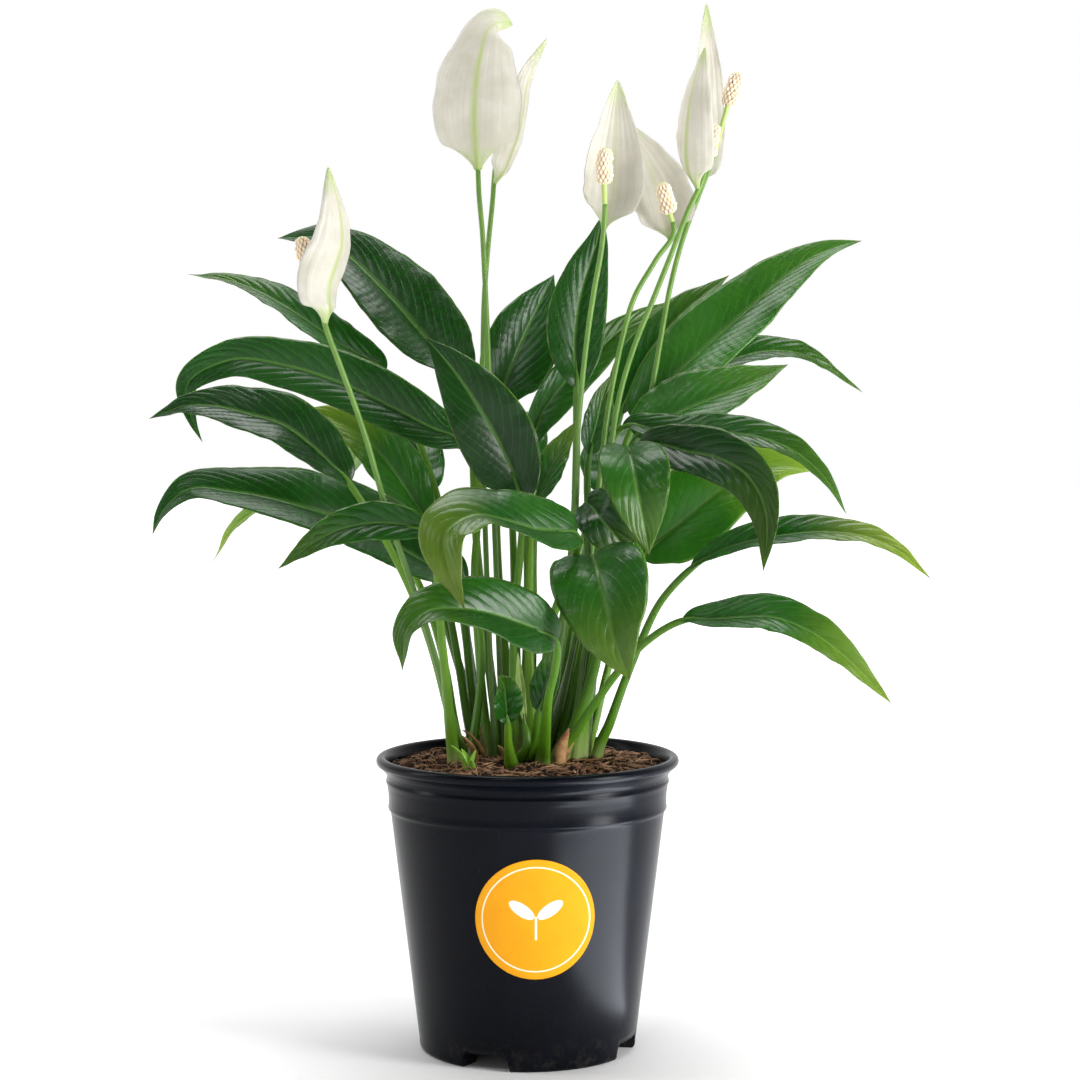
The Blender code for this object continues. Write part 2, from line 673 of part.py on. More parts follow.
def make_leaf(plan, material, group):
    name, spot, path, blade_start, half_width, at_base, at_tip = plan[:7]
    fold = math.radians(plan[7]) if len(plan) > 7 else blade_fold
    points = [crown_point(spot)] + [plant_point(p) for p in path]
    rings, low, high = leaf_rings(points, blade_start, half_width * mm, (at_base, at_tip), fold)
    points, faces = ring_solid(rings, low, high)
    return add_mesh(name, points, faces, material, group)


def make_stem(name, points, axis, material, group):
    # a round stalk along a smooth curve, standing square on the soil and ending along the axis
    curve, lengths, _ = smooth_path(points)
    stations = np.linspace(0, lengths[-1], stem_points)[1:-1]
    start, end = Vector(points[0]), Vector(points[-1])
    straight = 2 * flower_stem_radius
    line = [start, start + Vector((0, 0, straight))]
    line += [Vector(p) for p in along(curve, lengths, stations)]
    line += [end - axis * straight, end]
    data = bpy.data.curves.new(name, "CURVE")
    data.dimensions = "3D"
    data.bevel_depth = flower_stem_radius
    data.bevel_resolution = 2
    data.use_fill_caps = True
    spline = data.splines.new("POLY")
    spline.points.add(len(line) - 1)
    for point, place in zip(spline.points, line):
        point.co = (*place, 1)
    data.materials.append(material)
    thing = bpy.data.objects.new(name, data)
    group.objects.link(thing)
    return thing


def make_spathe(name, points, half_width, cup, facing, material, group):
    # a cupped leaf: each ring is an arc, hollow on the side that faces the spadix
    curve, lengths, _ = smooth_path(points)
    stations = lengths[-1] * np.array(spathe_rings)
    share = stations / lengths[-1]
    facing = np.repeat(unit(np.array([facing], dtype=float)), len(stations), axis=0)
    place, direction, side, normal = frames(curve, lengths, stations, facing)
    outline = blade_width(spathe_part[0] + share * (spathe_part[1] - spathe_part[0]))
    width = half_width * np.maximum(outline, spathe_least)
    angle = math.radians(cup) * (1 - spathe_opening * share)
    across = np.array([-1, -0.67, -0.33, 0, 0.33, 0.67, 1, 0.67, 0.33, 0, -0.33, -0.67])
    under = np.array([0, 0, 0, 0, 0, 0, 0, 1, 1, 1, 1, 1])
    curl = across * angle[:, None]
    radius = (width / np.sin(angle))[:, None]
    thinning = np.clip(width / (spathe_thin_from * half_width), spathe_thinnest, 1)
    skin = spathe_thickness * under * thinning[:, None]
    offset = (radius + skin) * np.sin(curl)
    height = radius - (radius + skin) * np.cos(curl)
    rings = place[:, None] + offset[..., None] * side[:, None] + height[..., None] * normal[:, None]
    low = rings[0].mean(axis=0) - direction[0] * pole_depth
    points, faces = ring_solid(rings, low, curve[-1])
    return add_mesh(name, points, faces, material, group)


def make_spadix(name, base, tip, material, group):
    # a blunt rod standing on the end of the flower's stalk
    base, tip = Vector(base), Vector(tip)
    length = (tip - base).length
    cap = spadix_radius
    outline = [(0, length)]
    outline += [(cap * math.cos(a), length - cap + cap * math.sin(a)) for a in np.radians([60, 30, 0])]
    outline += [(cap * spadix_belly, length * spadix_belly_at), (cap, cap * spadix_shoulder)]
    outline += [(cap * spadix_foot, 0), (0, 0)]
    thing = turned(name, outline, material, group)
    thing.modifiers["turn"].steps = spadix_segments
    thing.modifiers["turn"].render_steps = spadix_segments
    thing.location = base
    thing.rotation_mode = "QUATERNION"
    thing.rotation_quaternion = (tip - base).to_track_quat("Z", "Y")
    return thing


def make_flower(plan, materials, group):
    name, spot, stem, node, spathe, half_width, cup, facing, spadix = plan
    stalk_end, spadix_tip = [Vector(plant_point(p)) for p in spadix]
    axis = (spadix_tip - stalk_end).normalized()
    low = list(crown_point(spot))
    low[2] = soil_top() + gap
    path = [low] + [plant_point(p) for p in stem] + [plant_point(node), stalk_end]
    make_stem(f"flower_stem_{name}", path, axis, materials["petiole"], group)
    make_spadix(f"spadix_{name}", stalk_end + axis * gap, spadix_tip, materials["spadix"], group)
    back = Vector(facing).normalized() * -(flower_stem_radius + spathe_thickness + spathe_clearance)
    root = Vector(plant_point(node)) + back
    blade = [root] + [Vector(plant_point(p)) + back for p in spathe]
    make_spathe(f"spathe_{name}", blade, half_width * mm, cup, facing, materials["spathe"], group)


def main():
    clear_scene()
    group = new_collection("potted_peace_lily")
    cutters = new_collection("cutters")
    make_pot(group, cutters)
    make_soil(group)
    make_label(group, cutters)
    materials = {name: new_material(name, 0.45) for name in ("leaf", "petiole", "spathe", "spadix")}
    for plan in leaf_plans:
        make_leaf(plan, materials["leaf"], group)
    for plan in flower_plans:
        make_flower(plan, materials, group)


main()
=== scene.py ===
# Potted peace lily: fine leaves, flowers, soil and a moulded nursery pot over the CAD frame.
import math
import bpy
import numpy as np
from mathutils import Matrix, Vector


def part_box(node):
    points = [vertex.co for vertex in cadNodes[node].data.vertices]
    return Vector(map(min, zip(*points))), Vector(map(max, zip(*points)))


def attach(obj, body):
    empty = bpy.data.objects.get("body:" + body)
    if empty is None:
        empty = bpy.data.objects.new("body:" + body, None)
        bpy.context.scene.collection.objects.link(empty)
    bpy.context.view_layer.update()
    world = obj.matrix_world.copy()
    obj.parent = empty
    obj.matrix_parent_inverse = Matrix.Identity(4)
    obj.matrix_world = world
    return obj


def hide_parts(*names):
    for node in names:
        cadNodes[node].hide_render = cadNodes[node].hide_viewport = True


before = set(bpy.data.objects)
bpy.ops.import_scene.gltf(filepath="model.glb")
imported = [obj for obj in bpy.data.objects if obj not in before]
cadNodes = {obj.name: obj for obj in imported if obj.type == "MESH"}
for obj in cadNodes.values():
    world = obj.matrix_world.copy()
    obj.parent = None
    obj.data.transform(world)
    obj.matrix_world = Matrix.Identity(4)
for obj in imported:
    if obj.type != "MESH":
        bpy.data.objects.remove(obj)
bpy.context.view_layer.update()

mm = 0.001


def toLinear(hexColour):  # sRGB hex to linear: the lower part is a straight line, the rest a power of 2.4
    values = np.array([int(hexColour[i:i + 2], 16) for i in (1, 3, 5)]) / 255
    linear = np.where(values <= 0.04045, values / 12.92, ((values + 0.055) / 1.055) ** 2.4)
    return (*linear.tolist(), 1.0)


def unit(vectors):
    return vectors / np.maximum(np.linalg.norm(vectors, axis=-1, keepdims=True), 1e-12)


def smoothStep(values, low, high):  # 0 below low, 1 above high, 3x^2 - 2x^3 between
    x = np.clip((values - low) / (high - low), 0, 1)
    return x * x * (3 - 2 * x)


def curveThrough(knots, values, at):
    # cubic Hermite curve: each knot's slope is the mean of the slopes beside it
    values = np.asarray(values, float).reshape(len(knots), -1)
    steps = np.diff(knots)[:, None]
    slopes = np.diff(values, axis=0) / steps
    weighted = (slopes[:-1] * steps[1:] + slopes[1:] * steps[:-1]) / (steps[1:] + steps[:-1])
    tangents = np.vstack([slopes[:1], weighted, slopes[-1:]])
    i = np.clip(np.searchsorted(knots, at, side="right") - 1, 0, len(knots) - 2)
    h = steps[i]
    t = (np.asarray(at)[:, None] - knots[i][:, None]) / h
    rise = (2 * t ** 3 - 3 * t ** 2 + 1) * values[i] + (3 * t ** 2 - 2 * t ** 3) * values[i + 1]
    return rise + (t ** 3 - 2 * t ** 2 + t) * h * tangents[i] + (t ** 3 - t ** 2) * h * tangents[i + 1]


def wave(x, seed, octaves=3):  # a smooth random line: a few sines with odd frequencies and seeded phases
    rng = np.random.default_rng(seed)
    total = np.zeros_like(x)
    for k in range(octaves):
        total += np.sin(x * (1 + 0.83 * k + 0.4 * rng.random()) + rng.random() * 6.28) / (1 + 0.6 * k)
    return total / octaves


def latticeNoise(x, y, size, seed):  # random heights on a square lattice, eased between the four nearest
    rng = np.random.default_rng(seed)
    table = rng.random((64, 64)) * 2 - 1
    gx, gy = x / size + 1000, y / size + 1000
    i, j = np.floor(gx).astype(int), np.floor(gy).astype(int)
    fx, fy = gx - i, gy - j
    fx, fy = fx * fx * (3 - 2 * fx), fy * fy * (3 - 2 * fy)
    a = table[i % 64, j % 64] * (1 - fx) + table[(i + 1) % 64, j % 64] * fx
    b = table[i % 64, (j + 1) % 64] * (1 - fx) + table[(i + 1) % 64, (j + 1) % 64] * fx
    return a * (1 - fy) + b * fy


def gridFaces(rows, columns, closed):  # quads between neighbouring rows of a grid, wrapped round if closed
    i = np.arange(rows - 1)[:, None] * columns
    j = np.arange(columns if closed else columns - 1)[None, :]
    k = (j + 1) % columns
    return np.stack([i + j, i + k, i + columns + k, i + columns + j], axis=-1).reshape(-1, 4)


def closedSkin(rings, low, high):
    # rings that run from a point's side over its upper side, with a pole at each end, facing outwards
    rows, columns = rings.shape[:2]
    points = np.vstack([rings.reshape(-1, 3), np.reshape(low, (1, 3)), np.reshape(high, (1, 3))])
    quads = gridFaces(rows, columns, True)[:, ::-1]
    j = np.arange(columns)
    k = (j + 1) % columns
    last = (rows - 1) * columns
    lowCap = np.stack([np.full(columns, rows * columns), j, k], axis=1)
    highCap = np.stack([np.full(columns, rows * columns + 1), last + k, last + j], axis=1)
    return points, quads, np.vstack([lowCap, highCap])


def newPiece(name, skins, materials, replaced):
    # joins skins of (points, quads, triangles, material per quad, material per triangle, attributes)
    points, faces, indices, offset = [], [], [], 0
    attributes = {}
    for skin in skins:
        points.append(skin["points"])
        for part in ("quads", "triangles"):
            faces += (skin[part] + offset).tolist()
        indices.append(np.broadcast_to(skin.get("quadSlot", 0), len(skin["quads"])))
        indices.append(np.broadcast_to(skin.get("triangleSlot", 0), len(skin["triangles"])))
        for key, value in skin.get("attributes", {}).items():
            attributes.setdefault(key, []).append((offset, value))
        offset += len(skin["points"])
    mesh = bpy.data.meshes.new(name)
    mesh.from_pydata(np.vstack(points).tolist(), [], faces)
    mesh.polygons.foreach_set("material_index", np.concatenate(indices).astype(np.int32))
    mesh.polygons.foreach_set("use_smooth", np.ones(len(mesh.polygons), bool))
    for key, parts in attributes.items():
        field = np.zeros((offset, 3), np.float32)
        for start, value in parts:
            field[start:start + len(value)] = value
        layer = mesh.attributes.new(key, "FLOAT_VECTOR", "POINT")
        layer.data.foreach_set("vector", field.ravel())
    for material in materials:
        mesh.materials.append(material)
    mesh.update()
    piece = bpy.data.objects.new(name, mesh)
    bpy.context.scene.collection.objects.link(piece)
    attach(piece, "root")
    if replaced:
        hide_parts(*replaced)
    return piece


def skinOf(rings, low, high, attributes=None, quadSlot=0, triangleSlot=0):
    points, quads, triangles = closedSkin(rings, low, high)
    skin = {"points": points, "quads": quads, "triangles": triangles, "quadSlot": quadSlot}
    skin["triangleSlot"] = triangleSlot
    skin["attributes"] = {}
    for key, value in (attributes or {}).items():
        ends = np.stack([value[0].mean(axis=0), value[-1].mean(axis=0)])
        skin["attributes"][key] = np.vstack([value.reshape(-1, 3), ends])
    return skin


def cadPoints(node):  # a CAD mesh's separate points, and its triangles over them
    mesh = cadNodes[node].data
    loose = np.empty(len(mesh.vertices) * 3, np.float32)
    mesh.vertices.foreach_get("co", loose)
    corners = np.empty(len(mesh.loops), np.int32)
    mesh.loops.foreach_get("vertex_index", corners)
    keys, index = np.unique(np.round(loose.reshape(-1, 3), 5), axis=0, return_inverse=True)
    return keys.astype(float), index.ravel()[corners].reshape(-1, 3)


def cadRings(node, start):
    # a lofted CAD solid's rings, from its foot up: each ring is the vertices one more edge away from the foot
    keys, faces = cadPoints(node)
    touching = np.zeros((len(keys), len(keys)), bool)
    for a, b in ((0, 1), (1, 2), (2, 0)):
        touching[faces[:, a], faces[:, b]] = True
        touching[faces[:, b], faces[:, a]] = True
    reached = np.zeros(len(keys), bool)
    if start == "point":
        reached[np.argmin(keys[:, 2])] = True
    elif start == "hub":  # the lower of the two poles, where the most edges meet
        count = touching.sum(axis=1)
        hubs = np.argsort(-count)[:2]
        reached[hubs[np.argmin(keys[hubs, 2])]] = True
    else:  # a flat ring
        reached = keys[:, 2] < keys[:, 2].min() + 0.05 * mm
    levels = [keys[reached]]
    while not reached.all():
        near = touching[reached].any(axis=0) & ~reached
        levels.append(keys[near])
        reached |= near
    return levels


# Leaves: each CAD leaf gives its midrib, width and tilt, and the fine blade and stalk are grown on those

leafShape = {
    "stalkRings": 5,              # rings on the stalk in the CAD leaf
    "bladeShares": (0, 0.04, 0.12, 0.24, 0.38, 0.54, 0.70, 0.84, 0.94, 1),
    "rise": 0.6, "fall": 1.1,     # the outline's powers at the base and at the tip
    "rowStep": 0.9 * mm, "columns": 25,
    "sheet": 0.45 * mm,           # thickness between the veins
    "veinSpacing": 10.5 * mm, "veinDepth": 0.6 * mm, "veinReach": 2.3,
    "midribRadius": 1.5 * mm,
    "marginWave": 1.3 * mm,
    "stalkSides": 16, "stalkRows": 46,
    "buried": 3.5 * mm,           # how far a stalk goes down into the soil
}

# what sets single leaves apart: freshness from 0, old and dark, to 1, pale and young; yellowing of the tip
leafCharacter = {
    "leaf_front_pale": (0.27, 0.4),
    "leaf_front_low_grey": (0.28, 0.1),
    "leaf_right_grey_hanging": (0.28, 0.15),
    "leaf_right_bright": (0.42, 0.55),
    "leaf_front_right_hanging": (0.3, 0.2),
    "leaf_left_inner": (0.35, 0.55),
    "leaf_left_low_pale": (0.55, 0.7),
    "leaf_rolled_spear": (0.95, 0.0),
    "leaf_sheath_front": (0.95, 0.0),
    "leaf_right_long_stalk": (0.28, 0.7),
    "leaf_right_low": (0.3, 0.4),
    "leaf_left_low_big": (0.15, 0.0),
    "leaf_striped_slim": (0.3, 0.1),
    "leaf_centre_upright": (0.2, 0.0),
    "leaf_upper_right_big": (0.36, 0.05),
    "leaf_right_mid_dark": (0.34, 0.1),
    "leaf_left_long": (0.14, 0.0),
    "leaf_left_arching": (0.08, 0.0),
    "leaf_back_left_broad": (0.08, 0.0),
    "leaf_front_upright_dark": (0.05, 0.0),
    "leaf_right_dark_drooping": (0.06, 0.1),
    "leaf_back_centre": (0.16, 0.0),
    "leaf_right_dark_hanging": (0.1, 0.2),
    "leaf_right_arching_grey": (0.25, 0.1),
    "leaf_centre_slim": (0.35, 0.3),
}


def bladeOutline(share, rise, fall):  # share^rise (1 - share)^fall, scaled so that its peak is 1
    peak = rise / (rise + fall)
    shape = np.clip(share, 0, 1) ** rise * np.clip(1 - share, 0, 1) ** fall
    return shape / (peak ** rise * (1 - peak) ** fall)


def acrossRings(rings):
    # for each ring: its middle, half-width vector and rise of its edges, read across its widest direction
    centred = rings - rings.mean(axis=1, keepdims=True)
    widest = np.linalg.svd(centred, full_matrices=False)[2][:, 0]
    signs = np.sign(np.sum(widest[1:] * widest[:-1], axis=1))
    widest = widest * np.concatenate([[1], np.cumprod(signs)])[:, None]
    place = np.einsum("rkc,rc->rk", centred, widest)
    order = np.argsort(place, axis=1)
    rows = np.arange(len(rings))[:, None]
    inOrder = rings[rows, order]
    half = rings.shape[1] // 2
    middle = inOrder[:, half - 1:half + 1].mean(axis=1)
    edges = (inOrder[:, 0] + inOrder[:, -1]) / 2
    return middle, (inOrder[:, -1] - inOrder[:, 0]) / 2, edges - middle


def travel(points):  # length along a line of points
    return np.concatenate([[0], np.cumsum(np.linalg.norm(np.diff(points, axis=0), axis=1))])


def framesAlong(points, facing):  # direction of the line, its side, and the facing turned square to it
    direction = unit(np.gradient(points, axis=0))
    normal = unit(facing - np.sum(facing * direction, axis=1, keepdims=True) * direction)
    return direction, np.cross(direction, normal), normal


def roundLoop(upper, lower):  # back over the upper side, then along the lower side without its two edges
    return np.concatenate([upper[:, ::-1], lower[:, 1:-1]], axis=1)


def stalkSkin(line, facing, radius, shape, sheath):
    # a tube along the stalk: radius, widened sideways by its sheath, with a channel along its upper side
    rows = len(line)
    _, side, normal = framesAlong(line, facing)
    angle = np.linspace(0, 2 * math.pi, shape["stalkSides"], endpoint=False)
    channel = 0.22 * np.exp(-((angle - math.pi / 2) / 0.5) ** 2)
    reach = radius[:, None] * (1 - channel[None, :])
    wide = reach * np.cos(angle) * (1 + 0.35 * sheath[:, None])
    deep = reach * np.sin(angle)
    rings = line[:, None] + wide[..., None] * side[:, None] + deep[..., None] * normal[:, None]
    share = np.linspace(0, 1, rows)
    field = np.zeros((rows, shape["stalkSides"], 3))
    field[..., 0] = angle / (2 * math.pi)
    field[..., 1] = share[:, None]
    return rings, field


def growLeaf(node, index, materials):
    shape = leafShape
    fresh, yellow = leafCharacter.get(node, (0.25, 0.1))
    levels = cadRings(node, "point")
    rings = np.stack([ring for ring in levels[1:-1] if len(ring) == 8])
    tip = levels[-1][0]
    first = shape["stalkRings"]
    stalkLine = rings[:first + 2].mean(axis=1)
    shares = np.array(shape["bladeShares"])
    middle, half, lift = acrossRings(rings[first + 2:])
    foldAngle = float(np.median(np.arctan2(np.linalg.norm(lift, axis=1), np.linalg.norm(half, axis=1))))
    outline = bladeOutline(shares[2:2 + len(middle)], shape["rise"], shape["fall"])
    widest = float(np.median(np.linalg.norm(half, axis=1) / outline)) / math.cos(foldAngle)
    spine = np.vstack([stalkLine, middle, tip])
    distance = travel(spine)
    startAt, endAt = distance[first], distance[-1]
    length = endAt - startAt
    rng = np.random.default_rng(500 + index)

    # the blade: a folded sheet over its midrib, quilted between the veins and waved along its margins
    rows = max(60, round(length / shape["rowStep"]))
    t = np.maximum(np.linspace(0, 1, rows + 1)[:-1], 0.004)
    centre = curveThrough(distance, spine, startAt + t * length)
    knots = distance[first + 2:-1]
    at = np.clip(startAt + t * length, knots[0], knots[-1])
    facing = curveThrough(knots, unit(lift), at)
    _, side, normal = framesAlong(centre, facing)
    width = widest * bladeOutline(t, shape["rise"], shape["fall"])
    x = np.linspace(-1, 1, shape["columns"])
    u = np.sign(x) * np.abs(x) ** 1.25
    uu, tt = u[None, :], t[:, None]
    rim = 1 + 0.03 * wave(tt * 11, index) * np.sign(uu)
    spread = width[:, None] * uu * rim
    far = np.abs(uu)
    count = max(6, round(length / shape["veinSpacing"]))
    sweep = shape["veinReach"] * widest / length
    vein = count * (tt - sweep * (1 - 0.35 * tt) * far ** 1.25)
    quilt = np.abs(np.sin(math.pi * vein + 0.35 * wave(tt * 9 + 3 * uu, index + 40))) ** 0.85 - 0.62
    fade = smoothStep(far, 0.03, 0.25) * (1 - 0.55 * smoothStep(far, 0.7, 1)) * smoothStep(tt, 0.02, 0.15)
    fade = fade * np.clip(width[:, None] / (0.5 * widest), 0.15, 1)
    relief = shape["veinDepth"] * quilt * fade
    ripple = np.where(uu > 0, wave(tt * 21 + 1.7, index + 80), wave(tt * 19, index + 120))
    ripple = shape["marginWave"] * ripple * far ** 2.6 * np.sin(math.pi * np.clip(tt, 0, 1)) ** 0.6
    fold = foldAngle * (1.15 - 0.3 * tt)
    crown = 0.07 * width[:, None] * np.sin(math.pi * far ** 0.9)
    rise = np.sqrt(spread ** 2 + (0.6 * mm) ** 2) * np.sin(fold) - 0.6 * mm * np.sin(fold) + crown
    groove = -0.35 * mm * np.exp(-(spread / (0.9 * mm)) ** 2) * (1 - tt)
    lifted = rise + relief + ripple + groove
    ribRadius = shape["midribRadius"] * (1 - tt) ** 0.8
    rib = ribRadius * 0.95 * np.exp(-(spread / np.maximum(ribRadius * 1.1, 0.3 * mm)) ** 2)
    skin = shape["sheet"] * np.clip(width[:, None] / (0.2 * widest), 0.25, 1)
    sideways = (spread * np.cos(fold))[..., None] * side[:, None]
    over = centre[:, None] + sideways + lifted[..., None] * normal[:, None]
    below = over - (skin * (1 - 0.6 * far ** 6) + rib)[..., None] * normal[:, None]
    loop = roundLoop(over, below)
    field = np.stack([uu + 0 * tt, tt + 0 * uu, vein], axis=-1)
    fieldLoop = roundLoop(field, field)
    mark = np.zeros(fieldLoop.shape)
    mark[..., 0] = fresh
    mark[..., 1] = yellow
    mark[..., 2] = rng.random()
    topColumns = shape["columns"] - 1
    quadSlot = np.tile((np.arange(loop.shape[1]) >= topColumns).astype(int), rows - 1)
    fields = {"leafMap": fieldLoop, "leafMark": mark}
    blade = skinOf(loop, centre[0], tip, fields, quadSlot)

    # the stalk, which runs on a little under the blade as its midrib
    foot = spine[:1] - np.array([[0, 0, shape["buried"]]])
    stalkSpine = np.vstack([foot, spine])
    stalkDistance = travel(stalkSpine) - shape["buried"]
    reachOn = min(0.16 * length, 18 * mm)
    s = np.linspace(-shape["buried"], startAt + reachOn, shape["stalkRows"])
    line = curveThrough(stalkDistance, stalkSpine, s)
    outward = (tip - rings[0].mean(axis=0)) * np.array([1, 1, 0])
    stalkFacing = np.array([0, 0, 0.6]) - unit(outward)
    stalkShare = np.clip(s / startAt, 0, 1)
    radius0 = np.linalg.norm(rings[0] - rings[0].mean(axis=0), axis=1).mean()
    radius1 = np.linalg.norm(rings[first - 1] - rings[first - 1].mean(axis=0), axis=1).mean()
    radius = radius0 + (radius1 - radius0) * stalkShare
    radius = radius * (1 + 0.25 * (1 - smoothStep(stalkShare, 0, 0.3)))
    under = smoothStep(s, startAt - 4 * mm, startAt + reachOn)
    radius = radius * (1 - 0.62 * under)
    sheath = 1 - smoothStep(stalkShare, 0.25, 0.6)
    facings = np.repeat(stalkFacing[None], len(s), axis=0)
    _, _, up = framesAlong(line, facings)
    line = line - up * (under * 0.9 * mm)[:, None]
    tube, tubeField = stalkSkin(line, facings, radius, shape, sheath)
    tubeMark = np.zeros(tubeField.shape)
    tubeMark[..., 0] = fresh
    tubeMark[..., 1] = stalkShare[:, None]
    tubeMark[..., 2] = rng.random()
    stalk = skinOf(tube, line[0], line[-1], {"leafMap": tubeField, "leafMark": tubeMark}, 2, 2)
    return newPiece(node.replace("leaf_", "leafFine_"), [blade, stalk], materials, [node])


# Flowers: a spathe behind each spadix, both on the top of a long round stalk

flowerShape = {
    "rows": 64, "columns": 33,
    "sheet": 0.42 * mm,
    "veins": 9, "veinDepth": 0.16 * mm,
    "marginCurl": 1.1 * mm,
    "stemSides": 20, "stemRows": 120,
    "spadixRows": 130, "spadixSides": 84,
    "headLength": 19 * mm, "headRadius": 4.6 * mm, "stipeRadius": 1.35 * mm,
    "floret": 2.6 * mm, "floretDepth": 1.3 * mm,
}


def growStem(name, node, index, stemMaterial, endRadius):
    shape = flowerShape
    rings = [ring.mean(axis=0) for ring in cadRings(node, "ring")]
    spine = np.array(rings)
    spine = np.vstack([spine[:1] - np.array([[0, 0, 3.5 * mm]]), spine[1:]])
    distance = travel(spine)
    s = np.linspace(0, distance[-1], shape["stemRows"])
    line = curveThrough(distance, spine, s)
    share = s / distance[-1]
    radius = 1.55 * mm * (1 + 0.45 * (1 - smoothStep(share, 0, 0.12)) - 0.1 * smoothStep(share, 0.5, 1))
    radius = radius * (1 + 0.035 * wave(share * 26, index))
    end = smoothStep(s, distance[-1] - 9 * mm, distance[-1])
    radius = radius * (1 - end) + endRadius * end
    facings = np.repeat(np.array([[0.2, -1, 0.05]]), len(s), axis=0)
    _, side, up = framesAlong(line, facings)
    angle = np.linspace(0, 2 * math.pi, shape["stemSides"], endpoint=False)
    ridge = 1 + 0.03 * np.cos(5 * angle)[None, :]
    reach = radius[:, None] * ridge
    tube = line[:, None] + (reach * np.cos(angle))[..., None] * side[:, None]
    tube = tube + (reach * np.sin(angle))[..., None] * up[:, None]
    field = np.zeros((len(s), shape["stemSides"], 3))
    field[..., 0] = angle / (2 * math.pi)
    field[..., 1] = share[:, None]
    skin = skinOf(tube, line[0], line[-1], {"leafMap": field})
    newPiece(name, [skin], [stemMaterial], [node])
    return line


def growSpadix(name, node, material, index):
    # a blunt rod covered with florets in crossing spirals, each a small rounded knob
    shape = flowerShape
    points, _ = cadPoints(node)
    centre = points.mean(axis=0)
    axis = np.linalg.svd(points - centre, full_matrices=False)[2][0]
    axis = axis * (1 if axis[2] > 0 else -1)
    along = (points - centre) @ axis
    low, high = along.min(), along.max()
    length = high - low
    headLength = min(shape["headLength"], 0.8 * length)
    headRadius = shape["headRadius"]
    t = np.linspace(0, 1, shape["spadixRows"])
    at = t * length
    u = np.clip((at - (length - headLength)) / headLength, 0, 1)
    body = np.sqrt(np.clip(1 - np.clip(1 - u / 0.16, 0, 1) ** 2, 0, 1))
    cap = np.sqrt(np.clip(1 - np.clip((u - 0.72) / 0.28, 0, 1) ** 2, 0, 1))
    head = headRadius * body * np.maximum(cap, 0.05) * (1.0 - 0.14 * u)
    onHead = smoothStep(head, 0.1 * headRadius, 0.6 * headRadius) * (u > 0)
    profile = np.maximum(head, shape["stipeRadius"] * (u < 0.5))
    profile = np.maximum(profile, 0.15 * mm)
    angle = np.linspace(0, 2 * math.pi, shape["spadixSides"], endpoint=False)
    around = round(2 * math.pi * headRadius / shape["floret"])
    rows = headLength / (0.86 * shape["floret"])
    a = around * angle[None, :] / (2 * math.pi)
    b = rows * u[:, None]
    knob = np.abs(np.cos(math.pi * (a + b / 2))) * np.abs(np.cos(math.pi * (a - b / 2)))
    knob = knob ** 0.55
    uneven = 0.8 + 0.5 * latticeNoise(a, b, 1.0, 60 + index)
    reach = profile[:, None] + shape["floretDepth"] * (knob * uneven - 0.5) * onHead[:, None]
    helper = np.array([0.3, 0.9, 0.1])
    side = unit(np.cross(axis, helper))
    up = np.cross(axis, side)
    base = centre + low * axis
    sway = 0.5 * mm * np.sin(math.pi * t)[:, None] * side
    line = base + (t * length)[:, None] * axis + sway
    rings = line[:, None] + (reach * np.cos(angle))[..., None] * side
    rings = rings + (reach * np.sin(angle))[..., None] * up
    field = np.zeros((*reach.shape, 3))
    field[..., 0] = knob
    field[..., 1] = onHead[:, None]
    foot = line[0] - 0.2 * mm * axis
    top = line[-1] + 0.15 * mm * axis
    skin = skinOf(rings[:, ::-1], foot, top, {"leafMap": field[:, ::-1]})
    return newPiece(name, [skin], [material], [node]), shape["stipeRadius"]


